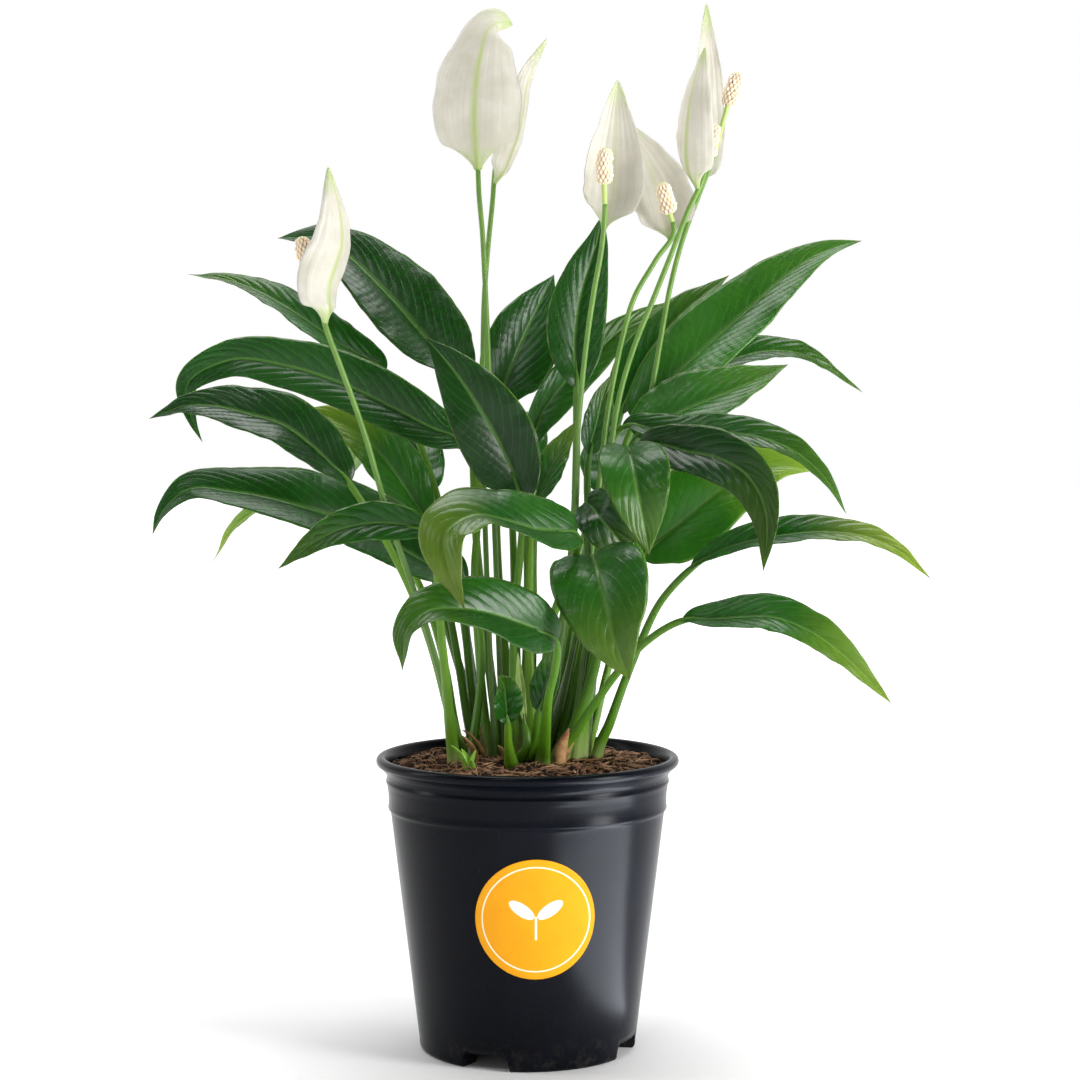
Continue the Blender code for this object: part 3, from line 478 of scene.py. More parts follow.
def growSpathe(name, node, stemLine, material, index):
    # a cupped sheet; it starts wrapped round the stalk and opens into an arc hollow towards the spadix
    shape = flowerShape
    levels = cadRings(node, "hub")
    rings = np.stack(levels[1:-1])
    tip = levels[-1][0]
    middle, half, lift = acrossRings(rings)
    chord = np.linalg.norm(half, axis=1)
    rise = np.linalg.norm(lift, axis=1)
    opening = 2 * np.arctan2(rise, chord)
    spine = np.vstack([middle, tip])
    distance = travel(spine)
    t = np.linspace(0, 1, shape["rows"] + 1)[:-1]
    at = t * distance[-1]
    knots = distance[:-1]
    inside = np.clip(at, 0, knots[-1])
    centre = curveThrough(distance, spine, at)
    reach = curveThrough(knots, chord, inside)[:, 0]
    beyond = np.clip((at - knots[-1]) / (distance[-1] - knots[-1]), 0, 1)
    reach = reach * (1 - beyond) ** 0.8
    reach = reach * (0.22 + 0.78 * smoothStep(t, 0.0, 0.13))
    angle = np.clip(curveThrough(knots, opening, inside)[:, 0], 0.1, 1.5)
    facing = curveThrough(knots, unit(lift), inside)
    nearest = stemLine[np.argmin(np.linalg.norm(stemLine - centre[0], axis=1))]
    centre = centre + (1 - smoothStep(t, 0.0, 0.1))[:, None] * (nearest - centre[0]) * 0.8
    _, side, normal = framesAlong(centre, facing)
    x = np.linspace(-1, 1, shape["columns"])[None, :]
    tt = t[:, None]
    rng = np.random.default_rng(700 + index)
    ragged = 1 + 0.035 * wave(tt * 9 + index, 700 + index) * np.sign(x)
    curl = x * angle[:, None] * ragged
    radius = (reach / np.sin(np.minimum(angle, 1.35)))[:, None]
    margin = shape["marginCurl"] * wave(tt * 15 + 2 * np.sign(x), index + 720) * np.abs(x) ** 4
    margin = margin * np.sin(math.pi * np.clip(tt, 0, 1)) ** 0.7
    veins = np.cos(math.pi * shape["veins"] * x * (0.75 + 0.25 * tt))
    fade = smoothStep(np.abs(x), 0.03, 0.2) * np.sin(math.pi * np.clip(tt, 0.02, 1)) ** 0.5
    relief = shape["veinDepth"] * veins * fade
    rib = -0.6 * mm * np.exp(-(x * reach[:, None] / (1.6 * mm)) ** 2) * (1 - tt)
    crease = 0.5 * mm * wave(tt * 7 + 3 * x, 740 + index)
    lifted = margin + relief + crease * np.abs(x)
    offset = (radius - lifted) * np.sin(curl)
    height = radius - (radius - lifted) * np.cos(curl)
    over = centre[:, None] + offset[..., None] * side[:, None] + height[..., None] * normal[:, None]
    outward = np.stack([np.sin(curl), -np.cos(curl)], axis=-1)
    thinning = np.clip(reach[:, None] / (0.2 * reach.max()), 0.4, 1)
    skin = shape["sheet"] * thinning * (1 - 0.6 * np.abs(x) ** 6) - rib
    under = over + (outward[..., :1] * side[:, None] + outward[..., 1:] * normal[:, None]) * skin[..., None]
    loop = roundLoop(over, under)
    field = np.stack([x + 0 * tt, tt + 0 * x, veins * 0.5 + 0.5], axis=-1)
    fieldLoop = roundLoop(field, field)
    mark = np.zeros(fieldLoop.shape)
    mark[..., 0] = rng.random()
    inside = shape["columns"] - 1
    mark[:, inside:, 1] = 1
    skin = skinOf(loop, loop[0].mean(axis=0), tip, {"leafMap": fieldLoop, "leafMark": mark})
    return newPiece(name, [skin], [material], [node])


# Materials


def addNode(tree, kind, inputs=None, stops=None, **settings):
    # one shader node: its settings, its sockets (a value or a link) and, on a ramp, its colour stops
    node = tree.nodes.new("ShaderNode" + kind)
    for key, value in settings.items():
        setattr(node, key, value)
    for key, value in (inputs or {}).items():
        socket = node.inputs[key]
        if isinstance(value, bpy.types.NodeSocket):
            tree.links.new(value, socket)
        elif isinstance(value, str):
            socket.default_value = toLinear(value)
        else:
            socket.default_value = value
    if stops:
        while len(node.color_ramp.elements) < len(stops):
            node.color_ramp.elements.new(0.5)
        for element, (place, colour) in zip(node.color_ramp.elements, stops):
            element.position = place
            element.color = toLinear(colour) if isinstance(colour, str) else (colour, colour, colour, 1)
    return node


def startMaterial(name):
    material = bpy.data.materials.new(name)
    material.use_nodes = True
    tree = material.node_tree
    tree.nodes.clear()
    return material, tree


def maths(tree, operation, a, b=0.0, c=0.0, clamp=False):
    return addNode(tree, "Math", {0: a, 1: b, 2: c}, operation=operation, use_clamp=clamp).outputs[0]


def blendColour(tree, factor, a, b, mode="MIX"):
    return addNode(tree, "Mix", {0: factor, 6: a, 7: b}, data_type="RGBA", blend_type=mode).outputs[2]


def noise(tree, vector, size, detail=3.0, roughness=0.55):  # size is the width of a blotch in metres
    inputs = {"Vector": vector, "Scale": 1 / size, "Detail": detail, "Roughness": roughness}
    return addNode(tree, "TexNoise", inputs).outputs["Fac"]


def between(tree, value, low, high):  # 0 below low and 1 above high, straight between
    inputs = {"Value": value, "From Min": low, "From Max": high, "To Min": 0.0, "To Max": 1.0}
    return addNode(tree, "MapRange", inputs, clamp=True).outputs["Result"]


def below(tree, value, low, high):  # 1 below low and 0 above high, straight between
    return maths(tree, "SUBTRACT", 1.0, between(tree, value, low, high))


def ramp(tree, value, stops):  # the colour at value, from 0 to 1, between the stops' colours
    return addNode(tree, "ValToRGB", {0: value}, stops=stops).outputs[0]


def tint(tree, colour, mask, share, other):  # colour moved towards other, by share where the mask is 1
    return blendColour(tree, maths(tree, "MULTIPLY", mask, share), colour, other)


def subsurface(weight, scale, radius):  # light that passes in and out: share, reach in m, reach by colour
    return {"Subsurface Weight": weight, "Subsurface Scale": scale, "Subsurface Radius": radius}


def finishMaterial(tree, inputs, bumps=()):
    normal = None
    for height, strength, distance in bumps:
        settings = {"Height": height, "Strength": strength, "Distance": distance}
        if normal:
            settings["Normal"] = normal
        normal = addNode(tree, "Bump", settings).outputs["Normal"]
    if normal:
        inputs = {**inputs, "Normal": normal}
    shader = addNode(tree, "BsdfPrincipled", inputs)
    addNode(tree, "OutputMaterial", {"Surface": shader.outputs["BSDF"]})


def leafFields(tree):
    place = addNode(tree, "TexCoord").outputs["Object"]
    grid = addNode(tree, "Attribute", attribute_name="leafMap").outputs["Vector"]
    mark = addNode(tree, "Attribute", attribute_name="leafMark").outputs["Vector"]
    gridParts = addNode(tree, "SeparateXYZ", {0: grid}).outputs
    return place, gridParts, addNode(tree, "SeparateXYZ", {0: mark}).outputs


def veinLines(tree, count, width):
    # 1 on a side vein, fading to 0 at width from it, both as shares of the spacing
    return below(tree, maths(tree, "PINGPONG", count, 0.5), 0.0, width)


def makeLeafTop():
    # the glossy upper skin: dark green, paler along the midrib, yellowing towards some tips, with a shine,
    # and with darker wavy streaks that are painted shade of its furrows
    material, tree = startMaterial("leaf upper skin")
    place, grid, mark = leafFields(tree)
    across = maths(tree, "ABSOLUTE", grid[0])
    base = maths(tree, "SUBTRACT", mark[0], 0.15)
    fresh = maths(tree, "MULTIPLY_ADD", noise(tree, place, 45 * mm), 0.3, base)
    stops = ((0.0, "#0a2707"), (0.25, "#17400d"), (0.5, "#306914"), (0.75, "#558e22"), (1.0, "#8ab544"))
    colour = ramp(tree, fresh, stops)
    vein = veinLines(tree, grid[2], 0.1)
    colour = tint(tree, colour, vein, 0.12, "#4d8a3a")
    # darker wavy streaks: painted shade of the leaf's furrows, not a colour of the leaf itself
    furrowShade = addNode(tree, "TexWave", {"Vector": place, "Scale": 60.0, "Distortion": 6.0}).outputs["Fac"]
    colour = tint(tree, colour, furrowShade, 0.12, "#0c2a10")
    middle = below(tree, across, 0.02, 0.09)
    colour = tint(tree, colour, middle, 0.35, "#6f9c4a")
    tip = maths(tree, "MULTIPLY", between(tree, grid[1], 0.45, 1.0), mark[1])
    tip = maths(tree, "MULTIPLY", tip, maths(tree, "ADD", noise(tree, place, 25 * mm), 0.45), clamp=True)
    colour = blendColour(tree, tip, colour, "#a2b63c")
    edge = maths(tree, "MULTIPLY", between(tree, across, 0.955, 1.0), 0.5)
    colour = blendColour(tree, edge, colour, "#6d8f3a")
    burnt = maths(tree, "ADD", mark[2], 0.2)
    burnt = maths(tree, "MULTIPLY", between(tree, grid[1], 0.975, 1.0), burnt, clamp=True)
    colour = blendColour(tree, burnt, colour, "#6a4a24")
    shine = maths(tree, "MULTIPLY_ADD", noise(tree, place, 14 * mm), 0.2, 0.2)
    skinBump = noise(tree, place, 1.1 * mm, 4.0)
    inputs = {"Base Color": colour, "Roughness": shine, "Specular IOR Level": 0.29,
              **subsurface(0.08, 0.004, (0.4, 1.0, 0.2))}
    finishMaterial(tree, inputs, ((skinBump, 0.25, 0.12 * mm), (vein, 0.3, -0.25 * mm)))
    return material


def makeLeafUnder():
    # the matt underside: a greyer, paler green with raised side veins
    material, tree = startMaterial("leaf underside")
    place, grid, mark = leafFields(tree)
    base = maths(tree, "SUBTRACT", mark[0], 0.12)
    fresh = maths(tree, "MULTIPLY_ADD", noise(tree, place, 40 * mm), 0.25, base)
    stops = ((0.0, "#4c6b40"), (0.35, "#64864c"), (0.7, "#86a45a"), (1.0, "#a9c46a"))
    colour = ramp(tree, fresh, stops)
    vein = veinLines(tree, grid[2], 0.12)
    colour = tint(tree, colour, vein, 0.5, "#a6bd83")
    middle = below(tree, maths(tree, "ABSOLUTE", grid[0]), 0.04, 0.12)
    colour = tint(tree, colour, middle, 0.7, "#9dbb6a")
    tip = maths(tree, "MULTIPLY", between(tree, grid[1], 0.4, 1.0), mark[1])
    colour = blendColour(tree, tip, colour, "#b3c163")
    fine = noise(tree, place, 0.8 * mm, 3.0)
    inputs = {"Base Color": colour, "Roughness": 0.52, **subsurface(0.1, 0.004, (0.4, 1.0, 0.2))}
    finishMaterial(tree, inputs, ((fine, 0.3, 0.1 * mm), (vein, 0.6, 0.25 * mm)))
    return material


def makeStalk():
    # leaf stalks: bright green, whitish at the foot where they sheathe, faintly ribbed lengthwise
    material, tree = startMaterial("leaf stalk")
    place, grid, mark = leafFields(tree)
    patches = maths(tree, "MULTIPLY", noise(tree, place, 30 * mm), 0.5)
    shade = maths(tree, "MULTIPLY_ADD", mark[2], 0.35, patches)
    stops = ((0.1, "#345a0d"), (0.4, "#497512"), (0.7, "#658f20"), (1.0, "#88a93a"))
    colour = ramp(tree, shade, stops)
    foot = below(tree, grid[1], 0.0, 0.12)
    colour = tint(tree, colour, foot, 0.55, "#b9bd84")
    ripe = maths(tree, "SUBTRACT", 0.8, mark[0])
    top = maths(tree, "MULTIPLY", between(tree, grid[1], 0.75, 1.0), ripe, clamp=True)
    colour = blendColour(tree, top, colour, "#2f5c22")
    ribs = addNode(tree, "Math", {0: maths(tree, "MULTIPLY", grid[0], 88.0)}, operation="SINE").outputs[0]
    inputs = {"Base Color": colour, "Roughness": 0.4, "Specular IOR Level": 0.3,
              **subsurface(0.08, 0.003, (0.5, 1.0, 0.3))}
    finishMaterial(tree, inputs, ((ribs, 0.35, 0.08 * mm), (noise(tree, place, 2 * mm), 0.2, 0.1 * mm)))
    return material


def makeFlowerStem():
    # flower stalks: a smoother, lighter green than the leaf stalks, paling towards the flower
    material, tree = startMaterial("flower stalk")
    place, grid, _ = leafFields(tree)
    patches = maths(tree, "MULTIPLY", noise(tree, place, 22 * mm), 0.5)
    shade = maths(tree, "ADD", maths(tree, "MULTIPLY", grid[1], 0.4), patches)
    stops = ((0.15, "#42651d"), (0.5, "#557d28"), (0.9, "#779a42"))
    colour = ramp(tree, shade, stops)
    inputs = {"Base Color": colour, "Roughness": 0.42, **subsurface(0.1, 0.003, (0.5, 1.0, 0.3))}
    finishMaterial(tree, inputs, ((noise(tree, place, 1.6 * mm), 0.25, 0.1 * mm),))
    return material


def makeSpatheTissue():
    # the spathe: creamy white and soft, green along its midrib at the back, at its foot and in its tip
    material, tree = startMaterial("spathe tissue")
    place, grid, mark = leafFields(tree)
    across = maths(tree, "ABSOLUTE", grid[0])
    cloud = noise(tree, place, 18 * mm)
    colour = ramp(tree, cloud, ((0.3, "#a9a596"), (0.7, "#c0bcb0")))
    wash = noise(tree, place, 9 * mm, 4.0)
    tipShade = between(tree, grid[1], 0.80, 0.985)
    footShade = below(tree, grid[1], 0.015, 0.12)
    ribWidth = maths(tree, "MULTIPLY_ADD", grid[1], -0.09, 0.15)
    rib = maths(tree, "SUBTRACT", 1.0, maths(tree, "DIVIDE", across, ribWidth), clamp=True)
    rib = maths(tree, "MULTIPLY", rib, maths(tree, "MULTIPLY_ADD", mark[1], 0.55, 0.35))
    strength = maths(tree, "ADD", wash, 0.3)
    colour = blendColour(tree, maths(tree, "MULTIPLY", rib, strength, clamp=True), colour, "#8eab45")
    both = maths(tree, "MAXIMUM", tipShade, maths(tree, "MULTIPLY", footShade, 0.85))
    colour = blendColour(tree, maths(tree, "MULTIPLY", both, strength, clamp=True), colour, "#86a53a")
    line = veinLines(tree, maths(tree, "MULTIPLY", grid[0], 9.0), 0.2)
    colour = tint(tree, colour, line, 0.25, "#a3a48e")
    inputs = {"Base Color": colour, "Roughness": 0.5, **subsurface(0.3, 0.006, (1.0, 0.9, 0.7))}
    finishMaterial(tree, inputs, ((line, 0.3, -0.12 * mm), (noise(tree, place, 1.2 * mm), 0.2, 0.1 * mm)))
    return material


def makeSpadixSkin():
    # florets: cream tops with tan between them, and a few darker specks
    material, tree = startMaterial("spadix florets")
    place, grid, _ = leafFields(tree)
    stops = ((0.1, "#a98a66"), (0.4, "#dcc3a2"), (0.8, "#f3e5cd"))
    colour = ramp(tree, grid[0], stops)
    colour = blendColour(tree, grid[1], "#a9bf6e", colour)
    speck = between(tree, noise(tree, place, 1.0 * mm, 2.0), 0.62, 0.7)
    colour = tint(tree, colour, speck, 0.45, "#9c7148")
    inputs = {"Base Color": colour, "Roughness": 0.7, **subsurface(0.15, 0.002, (1.0, 0.7, 0.4))}
    finishMaterial(tree, inputs, ((noise(tree, place, 0.7 * mm), 0.5, 0.15 * mm),))
    return material


def makePotPlastic():
    # moulded black plastic: satin, faintly blue, with upright scuffs, dust and a slightly uneven skin
    material, tree = startMaterial("moulded black pot plastic")
    place = addNode(tree, "TexCoord").outputs["Object"]
    stretched = addNode(tree, "Mapping", {"Vector": place, "Scale": (1.0, 1.0, 0.12)}).outputs[0]
    flow = noise(tree, stretched, 9 * mm, 5.0)
    dust = noise(tree, place, 30 * mm, 4.0)
    colour = ramp(tree, dust, ((0.3, "#03050b"), (0.75, "#080a12")))
    scuff = between(tree, noise(tree, stretched, 1.8 * mm, 6.0, 0.7), 0.64, 0.74)
    colour = tint(tree, colour, scuff, 0.14, "#3c4046")
    height = addNode(tree, "SeparateXYZ", {0: place}).outputs[2]
    soiled = below(tree, height, 0.0, 0.018)
    soiled = maths(tree, "MULTIPLY", soiled, between(tree, noise(tree, place, 6 * mm, 5.0), 0.5, 0.7))
    colour = tint(tree, colour, soiled, 0.5, "#3b3833")
    rough = maths(tree, "MULTIPLY_ADD", flow, 0.12, maths(tree, "MULTIPLY_ADD", scuff, 0.12, 0.19))
    inputs = {"Base Color": colour, "Roughness": rough, "Specular IOR Level": 0.1}
    grain = noise(tree, place, 0.6 * mm, 2.0)
    finishMaterial(tree, inputs, ((flow, 0.12, 0.4 * mm), (grain, 0.12, 0.05 * mm)))
    return material


def makeStickerPaper(centre, radius):
    # a coated paper sticker: warm orange with a thin pale ring and a plain two-leaf sprout in its middle
    material, tree = startMaterial("orange sticker paper")
    place = addNode(tree, "TexCoord").outputs["Object"]
    parts = addNode(tree, "SeparateXYZ", {0: place}).outputs
    x = maths(tree, "DIVIDE", maths(tree, "SUBTRACT", parts[0], centre[0]), radius)
    z = maths(tree, "DIVIDE", maths(tree, "SUBTRACT", parts[2], centre[2]), radius)
    square = maths(tree, "MULTIPLY_ADD", x, x, maths(tree, "MULTIPLY", z, z))
    reach = maths(tree, "SQRT", square)
    mottle = noise(tree, place, 12 * mm)
    colour = ramp(tree, mottle, ((0.3, "#f2a206"), (0.7, "#f5a80a")))
    ring = maths(tree, "LESS_THAN", maths(tree, "ABSOLUTE", maths(tree, "SUBTRACT", reach, 0.87)), 0.012)
    side = maths(tree, "ABSOLUTE", x)
    turnedX = maths(tree, "ADD", maths(tree, "MULTIPLY", side, 0.82), maths(tree, "MULTIPLY", z, 0.57))
    turnedZ = maths(tree, "SUBTRACT", maths(tree, "MULTIPLY", z, 0.82), maths(tree, "MULTIPLY", side, 0.57))
    u = maths(tree, "DIVIDE", maths(tree, "SUBTRACT", turnedX, 0.28), 0.24)
    v = maths(tree, "DIVIDE", turnedZ, 0.1)
    blade = maths(tree, "LESS_THAN", maths(tree, "MULTIPLY_ADD", u, u, maths(tree, "MULTIPLY", v, v)), 1.0)
    stalk = maths(tree, "MULTIPLY", maths(tree, "LESS_THAN", side, 0.018), maths(tree, "LESS_THAN", z, 0.05))
    stalk = maths(tree, "MULTIPLY", stalk, maths(tree, "GREATER_THAN", z, -0.34))
    sprout = maths(tree, "MAXIMUM", blade, stalk)
    colour = blendColour(tree, ring, colour, "#fdf1d0")
    colour = blendColour(tree, sprout, colour, "#fbf6e6")
    inputs = {"Base Color": colour, "Roughness": 0.45, "Specular IOR Level": 0.22}
    finishMaterial(tree, inputs, ((noise(tree, place, 0.9 * mm), 0.15, 0.05 * mm),))
    return material


def makeSoil():
    # moist potting mix: dark brown with paler peat and grit
    material, tree = startMaterial("potting mix")
    place = addNode(tree, "TexCoord").outputs["Object"]
    coarse = noise(tree, place, 5 * mm, 6.0, 0.65)
    stops = ((0.3, "#150b07"), (0.5, "#3a2218"), (0.75, "#74503c"))
    colour = ramp(tree, coarse, stops)
    inputs = {"Base Color": colour, "Roughness": 0.92, "Specular IOR Level": 0.25}
    finishMaterial(tree, inputs, ((noise(tree, place, 1.5 * mm, 6.0, 0.7), 0.9, 0.8 * mm),))
    return material


def makeDebris(name, dark, light, size, rough):
    # one kind of dry plant scrap: its colour wanders between two shades from scrap to scrap
    material, tree = startMaterial(name)
    place = addNode(tree, "TexCoord").outputs["Object"]
    shade = noise(tree, place, size, 4.0)
    colour = ramp(tree, shade, ((0.32, dark), (0.68, light)))
    inputs = {"Base Color": colour, "Roughness": rough, "Specular IOR Level": 0.3}
    finishMaterial(tree, inputs, ((noise(tree, place, 0.9 * mm, 4.0), 0.6, 0.3 * mm),))
    return material


def makeFloor():
    # the plain matt sweep that the pot stands on, which glows white away from the pot
    material, tree = startMaterial("studio floor")
    place = addNode(tree, "TexCoord").outputs["Object"]
    away = addNode(tree, "VectorMath", {0: place}, operation="LENGTH").outputs["Value"]
    glow = maths(tree, "MULTIPLY", between(tree, away, 0.45, 1.7), 0.9)
    shade = noise(tree, place, 0.6, 2.0)
    colour = ramp(tree, shade, ((0.2, "#fafafa"), (0.8, "#fdfdfd")))
    inputs = {"Base Color": colour, "Roughness": 0.9, "Specular IOR Level": 0.1}
    finishMaterial(tree, {**inputs, "Emission Color": "#ffffff", "Emission Strength": glow})
    return material


# The pot: one turned surface round the axis, its lower edge lifted over the four drainage notches

potShape = {
    "rim": 82.5, "bead": 2.8, "height": 160.0,     # mm
    "collar": 76.2, "step": 131.0, "stepIn": 1.4,
    "foot": 59.2, "footFlat": 57.4, "footWidth": 11.0,
    "notchHeight": 8.5, "notchAngle": 26.0, "firstNotch": -22.5,
    "around": 320,
}


def potProfile():
    # radius and height in mm, from the lip's inside over the top and down, under, and back up inside
    shape = potShape
    bead, top = shape["bead"], shape["height"]
    angle = np.radians(np.linspace(150, -75, 26))
    outline = [(shape["rim"] - bead + bead * math.cos(a), top - bead + bead * math.sin(a)) for a in angle]
    c, s = shape["collar"], shape["step"]
    outline += [(c + 1.4, 151.4), (c + 0.7, 150.6), (c + 0.35, 147.6), (c + 0.9, 147.0), (c + 0.95, 145.6)]
    outline += [(c + 0.3, 144.8), (c + 0.15, 142.4), (c - 0.3, 140.0), (c - 0.5, 133.4), (c - 0.2, 132.6)]
    outline += [(c - 0.3, 131.4), (c - 1.1, s - 0.2), (c - 1.5, s - 1.2)]
    wallTop = c - shape["stepIn"]
    heights = np.array([128.5, 126.0, 122.0, 110, 95, 80, 65, 50, 35, 22, 12, 7, 4.4])
    outline += [(shape["foot"] + (z - 4) / (s - 4) * (wallTop - shape["foot"]), z) for z in heights]
    corner = np.radians(np.linspace(-10, -85, 7))
    outline += [(57.2 + 2.0 * math.cos(a), 2.9 + 2.9 * math.sin(a)) for a in corner]
    inner = shape["footFlat"] - shape["footWidth"]
    outline += [(56.6, 0), (50, 0), (inner + 0.6, 0), (inner, 0.5), (inner - 1.2, 4.4), (inner - 2, 5.0)]
    outline += [(30, 5.0), (10, 5.0)]
    under = len(outline)
    outline += [(10, 6.4), (30, 6.4), (54, 6.4), (57.4, 8.0), (60, 30)]
    outline += [(66, 80), (72, 125), (74.6, 132), (75, 150), (76.2, 156.4)]
    return np.array(outline), under


def makePot(material):
    shape = potShape
    profile, under = potProfile()
    angle = np.linspace(0, 2 * math.pi, shape["around"], endpoint=False)
    lift = np.zeros(len(angle))
    for k in range(4):
        middle = math.radians(shape["firstNotch"] + 90 * k)
        away = np.abs((angle - middle + math.pi) % (2 * math.pi) - math.pi)
        half = math.radians(shape["notchAngle"] / 2)
        lift = np.maximum(lift, shape["notchHeight"] * (1 - smoothStep(away, half - 0.022, half + 0.01)))
    radius = np.repeat(profile[:, :1], len(angle), axis=1)
    height = np.repeat(profile[:, 1:], len(angle), axis=1)
    outer = np.arange(len(profile)) < under
    footed = outer[:, None] & (radius > 45.6)
    height = np.where(footed, np.maximum(height, lift[None]), height)
    raised = np.maximum(height, np.where(lift > 1, lift + 1.4, 0)[None])
    height = np.where(~outer[:, None] & (radius > 30), raised, height)
    uneven = 1 + 0.0012 * np.sin(2 * angle + 0.6) + 0.0006 * np.sin(5 * angle)
    radius = radius * uneven[None]
    x = radius * np.cos(angle) * mm
    y = radius * np.sin(angle) * mm
    rings = np.stack([x, y, height * mm], axis=-1)
    rings = rings + potMiddle
    rings = np.concatenate([rings[under:], rings[:under]])
    low = np.array([[*potAxis, 6.4 * mm]])
    high = np.array([[*potAxis, 5.0 * mm]])
    skin = skinOf(rings[:, ::-1], low, high)
    return newPiece("potFine", [skin], [material], ["pot"])


stickerShape = {"rows": 30, "columns": 120, "radius": 32.2, "x": 4.7, "z": 83.5, "thickness": 0.22}


def makeSticker(material):
    # a round sheet laid on the tapered wall: distance from its middle by angle, bent round the pot
    shape = stickerShape
    share = np.sqrt(np.linspace(0.0008, 1, shape["rows"]))[:, None]
    angle = np.linspace(0, 2 * math.pi, shape["columns"], endpoint=False)[None, :]
    across = shape["x"] + shape["radius"] * share * np.cos(angle)
    height = shape["z"] + shape["radius"] * share * np.sin(angle)
    wall = 59.2 + (height - 4) / 127 * (74.8 - 59.2)
    blister = 0.10 * np.sin(across * 0.23 + 1) * np.sin(height * 0.19) + 0.05
    sheets = []
    for lift in (0.06, 0.06 + shape["thickness"]):
        reach = wall * 1.0016 + lift + blister * (1 - share ** 2)
        turn = across / wall
        points = np.stack([reach * np.sin(turn), -reach * np.cos(turn), height + 0 * turn], axis=-1)
        sheets.append(points * mm + potMiddle)
    rings = np.concatenate([sheets[1], sheets[0][::-1]])
    low = rings[0].mean(axis=0)
    high = rings[-1].mean(axis=0)
    skin = skinOf(rings, low, high)
    return newPiece("stickerFine", [skin], [material], ["sticker"])


# The potting mix and what lies on it

soilShape = {
    "top": 157.0, "radius": 74.4, "flat": 50.0, "edgeDrop": 3.2, "lowest": 7.4,    # in mm
    "rows": 110, "around": 300,
}


def soilHeight(x, y):  # mm: flat in the middle, lower at the wall, heaped round the crown and lumpy all over
    shape = soilShape
    radius = np.hypot(x, y)
    height = shape["top"] - shape["edgeDrop"] * smoothStep(radius, shape["flat"], shape["radius"])
    height = height + 1.6 * np.exp(-(radius / 34) ** 2)
    height = height + 1.3 * latticeNoise(x, y, 11, 3) + 0.9 * latticeNoise(x, y, 4.6, 5)
    return height + 0.55 * latticeNoise(x, y, 2.1, 7)


def makeSoilBody(material):
    shape = soilShape
    angle = np.linspace(0, 2 * math.pi, shape["around"], endpoint=False)[None, :]
    radius = np.linspace(0.01, 1, shape["rows"])[:, None] * shape["radius"]
    x, y = radius * np.cos(angle), radius * np.sin(angle)
    top = np.stack([x, y, soilHeight(x, y)], axis=-1)
    sides = []
    for reach, z in ((73.6, 140), (72.4, 126), (66, 80), (58.5, 20), (53, shape["lowest"])):
        level = np.full(angle.shape, z)
        sides.append(np.stack([reach * np.cos(angle), reach * np.sin(angle), level], axis=-1))
    rings = np.concatenate([top] + sides) * mm + potMiddle
    low = rings[0].mean(axis=0)
    high = np.array([*potAxis, shape["lowest"] * mm])
    skin = skinOf(rings, low, high)
    return newPiece("pottingMixFine", [skin], [material], ["potting_mix"])


def scatterSpots(count, rng, reach=73.0):  # spots spread evenly over the soil, in mm
    radius = reach * np.sqrt(rng.random(count))
    angle = rng.random(count) * 2 * math.pi
    return radius * np.cos(angle), radius * np.sin(angle)


def randomTurns(count, rng):  # random rotation matrices from unit quaternions
    q = unit(rng.normal(size=(count, 4)))
    w, x, y, z = q.T
    rows = [1 - 2 * (y * y + z * z), 2 * (x * y - w * z), 2 * (x * z + w * y)]
    rows += [2 * (x * y + w * z), 1 - 2 * (x * x + z * z), 2 * (y * z - w * x)]
    rows += [2 * (x * z - w * y), 2 * (y * z + w * x), 1 - 2 * (x * x + y * y)]
    return np.stack(rows, axis=1).reshape(count, 3, 3)


def flatTurns(count, rng, tilt):  # rotations about the upright with a small random tilt
    spin = rng.random(count) * 2 * math.pi
    lean = rng.normal(0, tilt, count)
    c, s, a, b = np.cos(spin), np.sin(spin), np.cos(lean), np.sin(lean)
    rows = [c, -s * a, s * b, s, c * a, -c * b, 0 * c, b, a]
    return np.stack(rows, axis=1).reshape(count, 3, 3)


def makeScraps(name, count, sizes, turns, sink, materials, seed, reach=73.0):
    # many small lumps: a twelve-cornered ball, dented at random, stretched by sizes and turned
    rng = np.random.default_rng(seed)
    golden = (1 + 5 ** 0.5) / 2
    ball = np.array([(-1, golden, 0), (1, golden, 0), (-1, -golden, 0), (1, -golden, 0),
                     (0, -1, golden), (0, 1, golden), (0, -1, -golden), (0, 1, -golden),
                     (golden, 0, -1), (golden, 0, 1), (-golden, 0, -1), (-golden, 0, 1)])
    faces = np.array([(0, 11, 5), (0, 5, 1), (0, 1, 7), (0, 7, 10),
                      (0, 10, 11), (1, 5, 9), (5, 11, 4), (11, 10, 2),
                      (10, 7, 6), (7, 1, 8), (3, 9, 4), (3, 4, 2), (3, 2, 6), (3, 6, 8), (3, 8, 9), (4, 9, 5),
                      (2, 4, 11), (6, 2, 10), (8, 6, 7), (9, 8, 1)])
    ball = unit(ball.astype(float))
    dents = 0.72 + 0.5 * rng.random((count, 12, 1))
    points = ball[None] * dents * sizes[:, None]
    points = np.einsum("nij,nkj->nki", turns, points)
    x, y = scatterSpots(count, rng, reach)
    z = soilHeight(x, y) + sink
    points = (points + np.stack([x, y, z], axis=1)[:, None]) * mm + potMiddle
    triangles = (faces[None] + 12 * np.arange(count)[:, None, None]).reshape(-1, 3)
    skin = {"points": points.reshape(-1, 3), "quads": np.zeros((0, 4), int), "triangles": triangles}
    piece = newPiece(name, [skin], materials, [])
    piece.data.polygons.foreach_set("use_smooth", np.zeros(len(triangles), bool))
    return piece


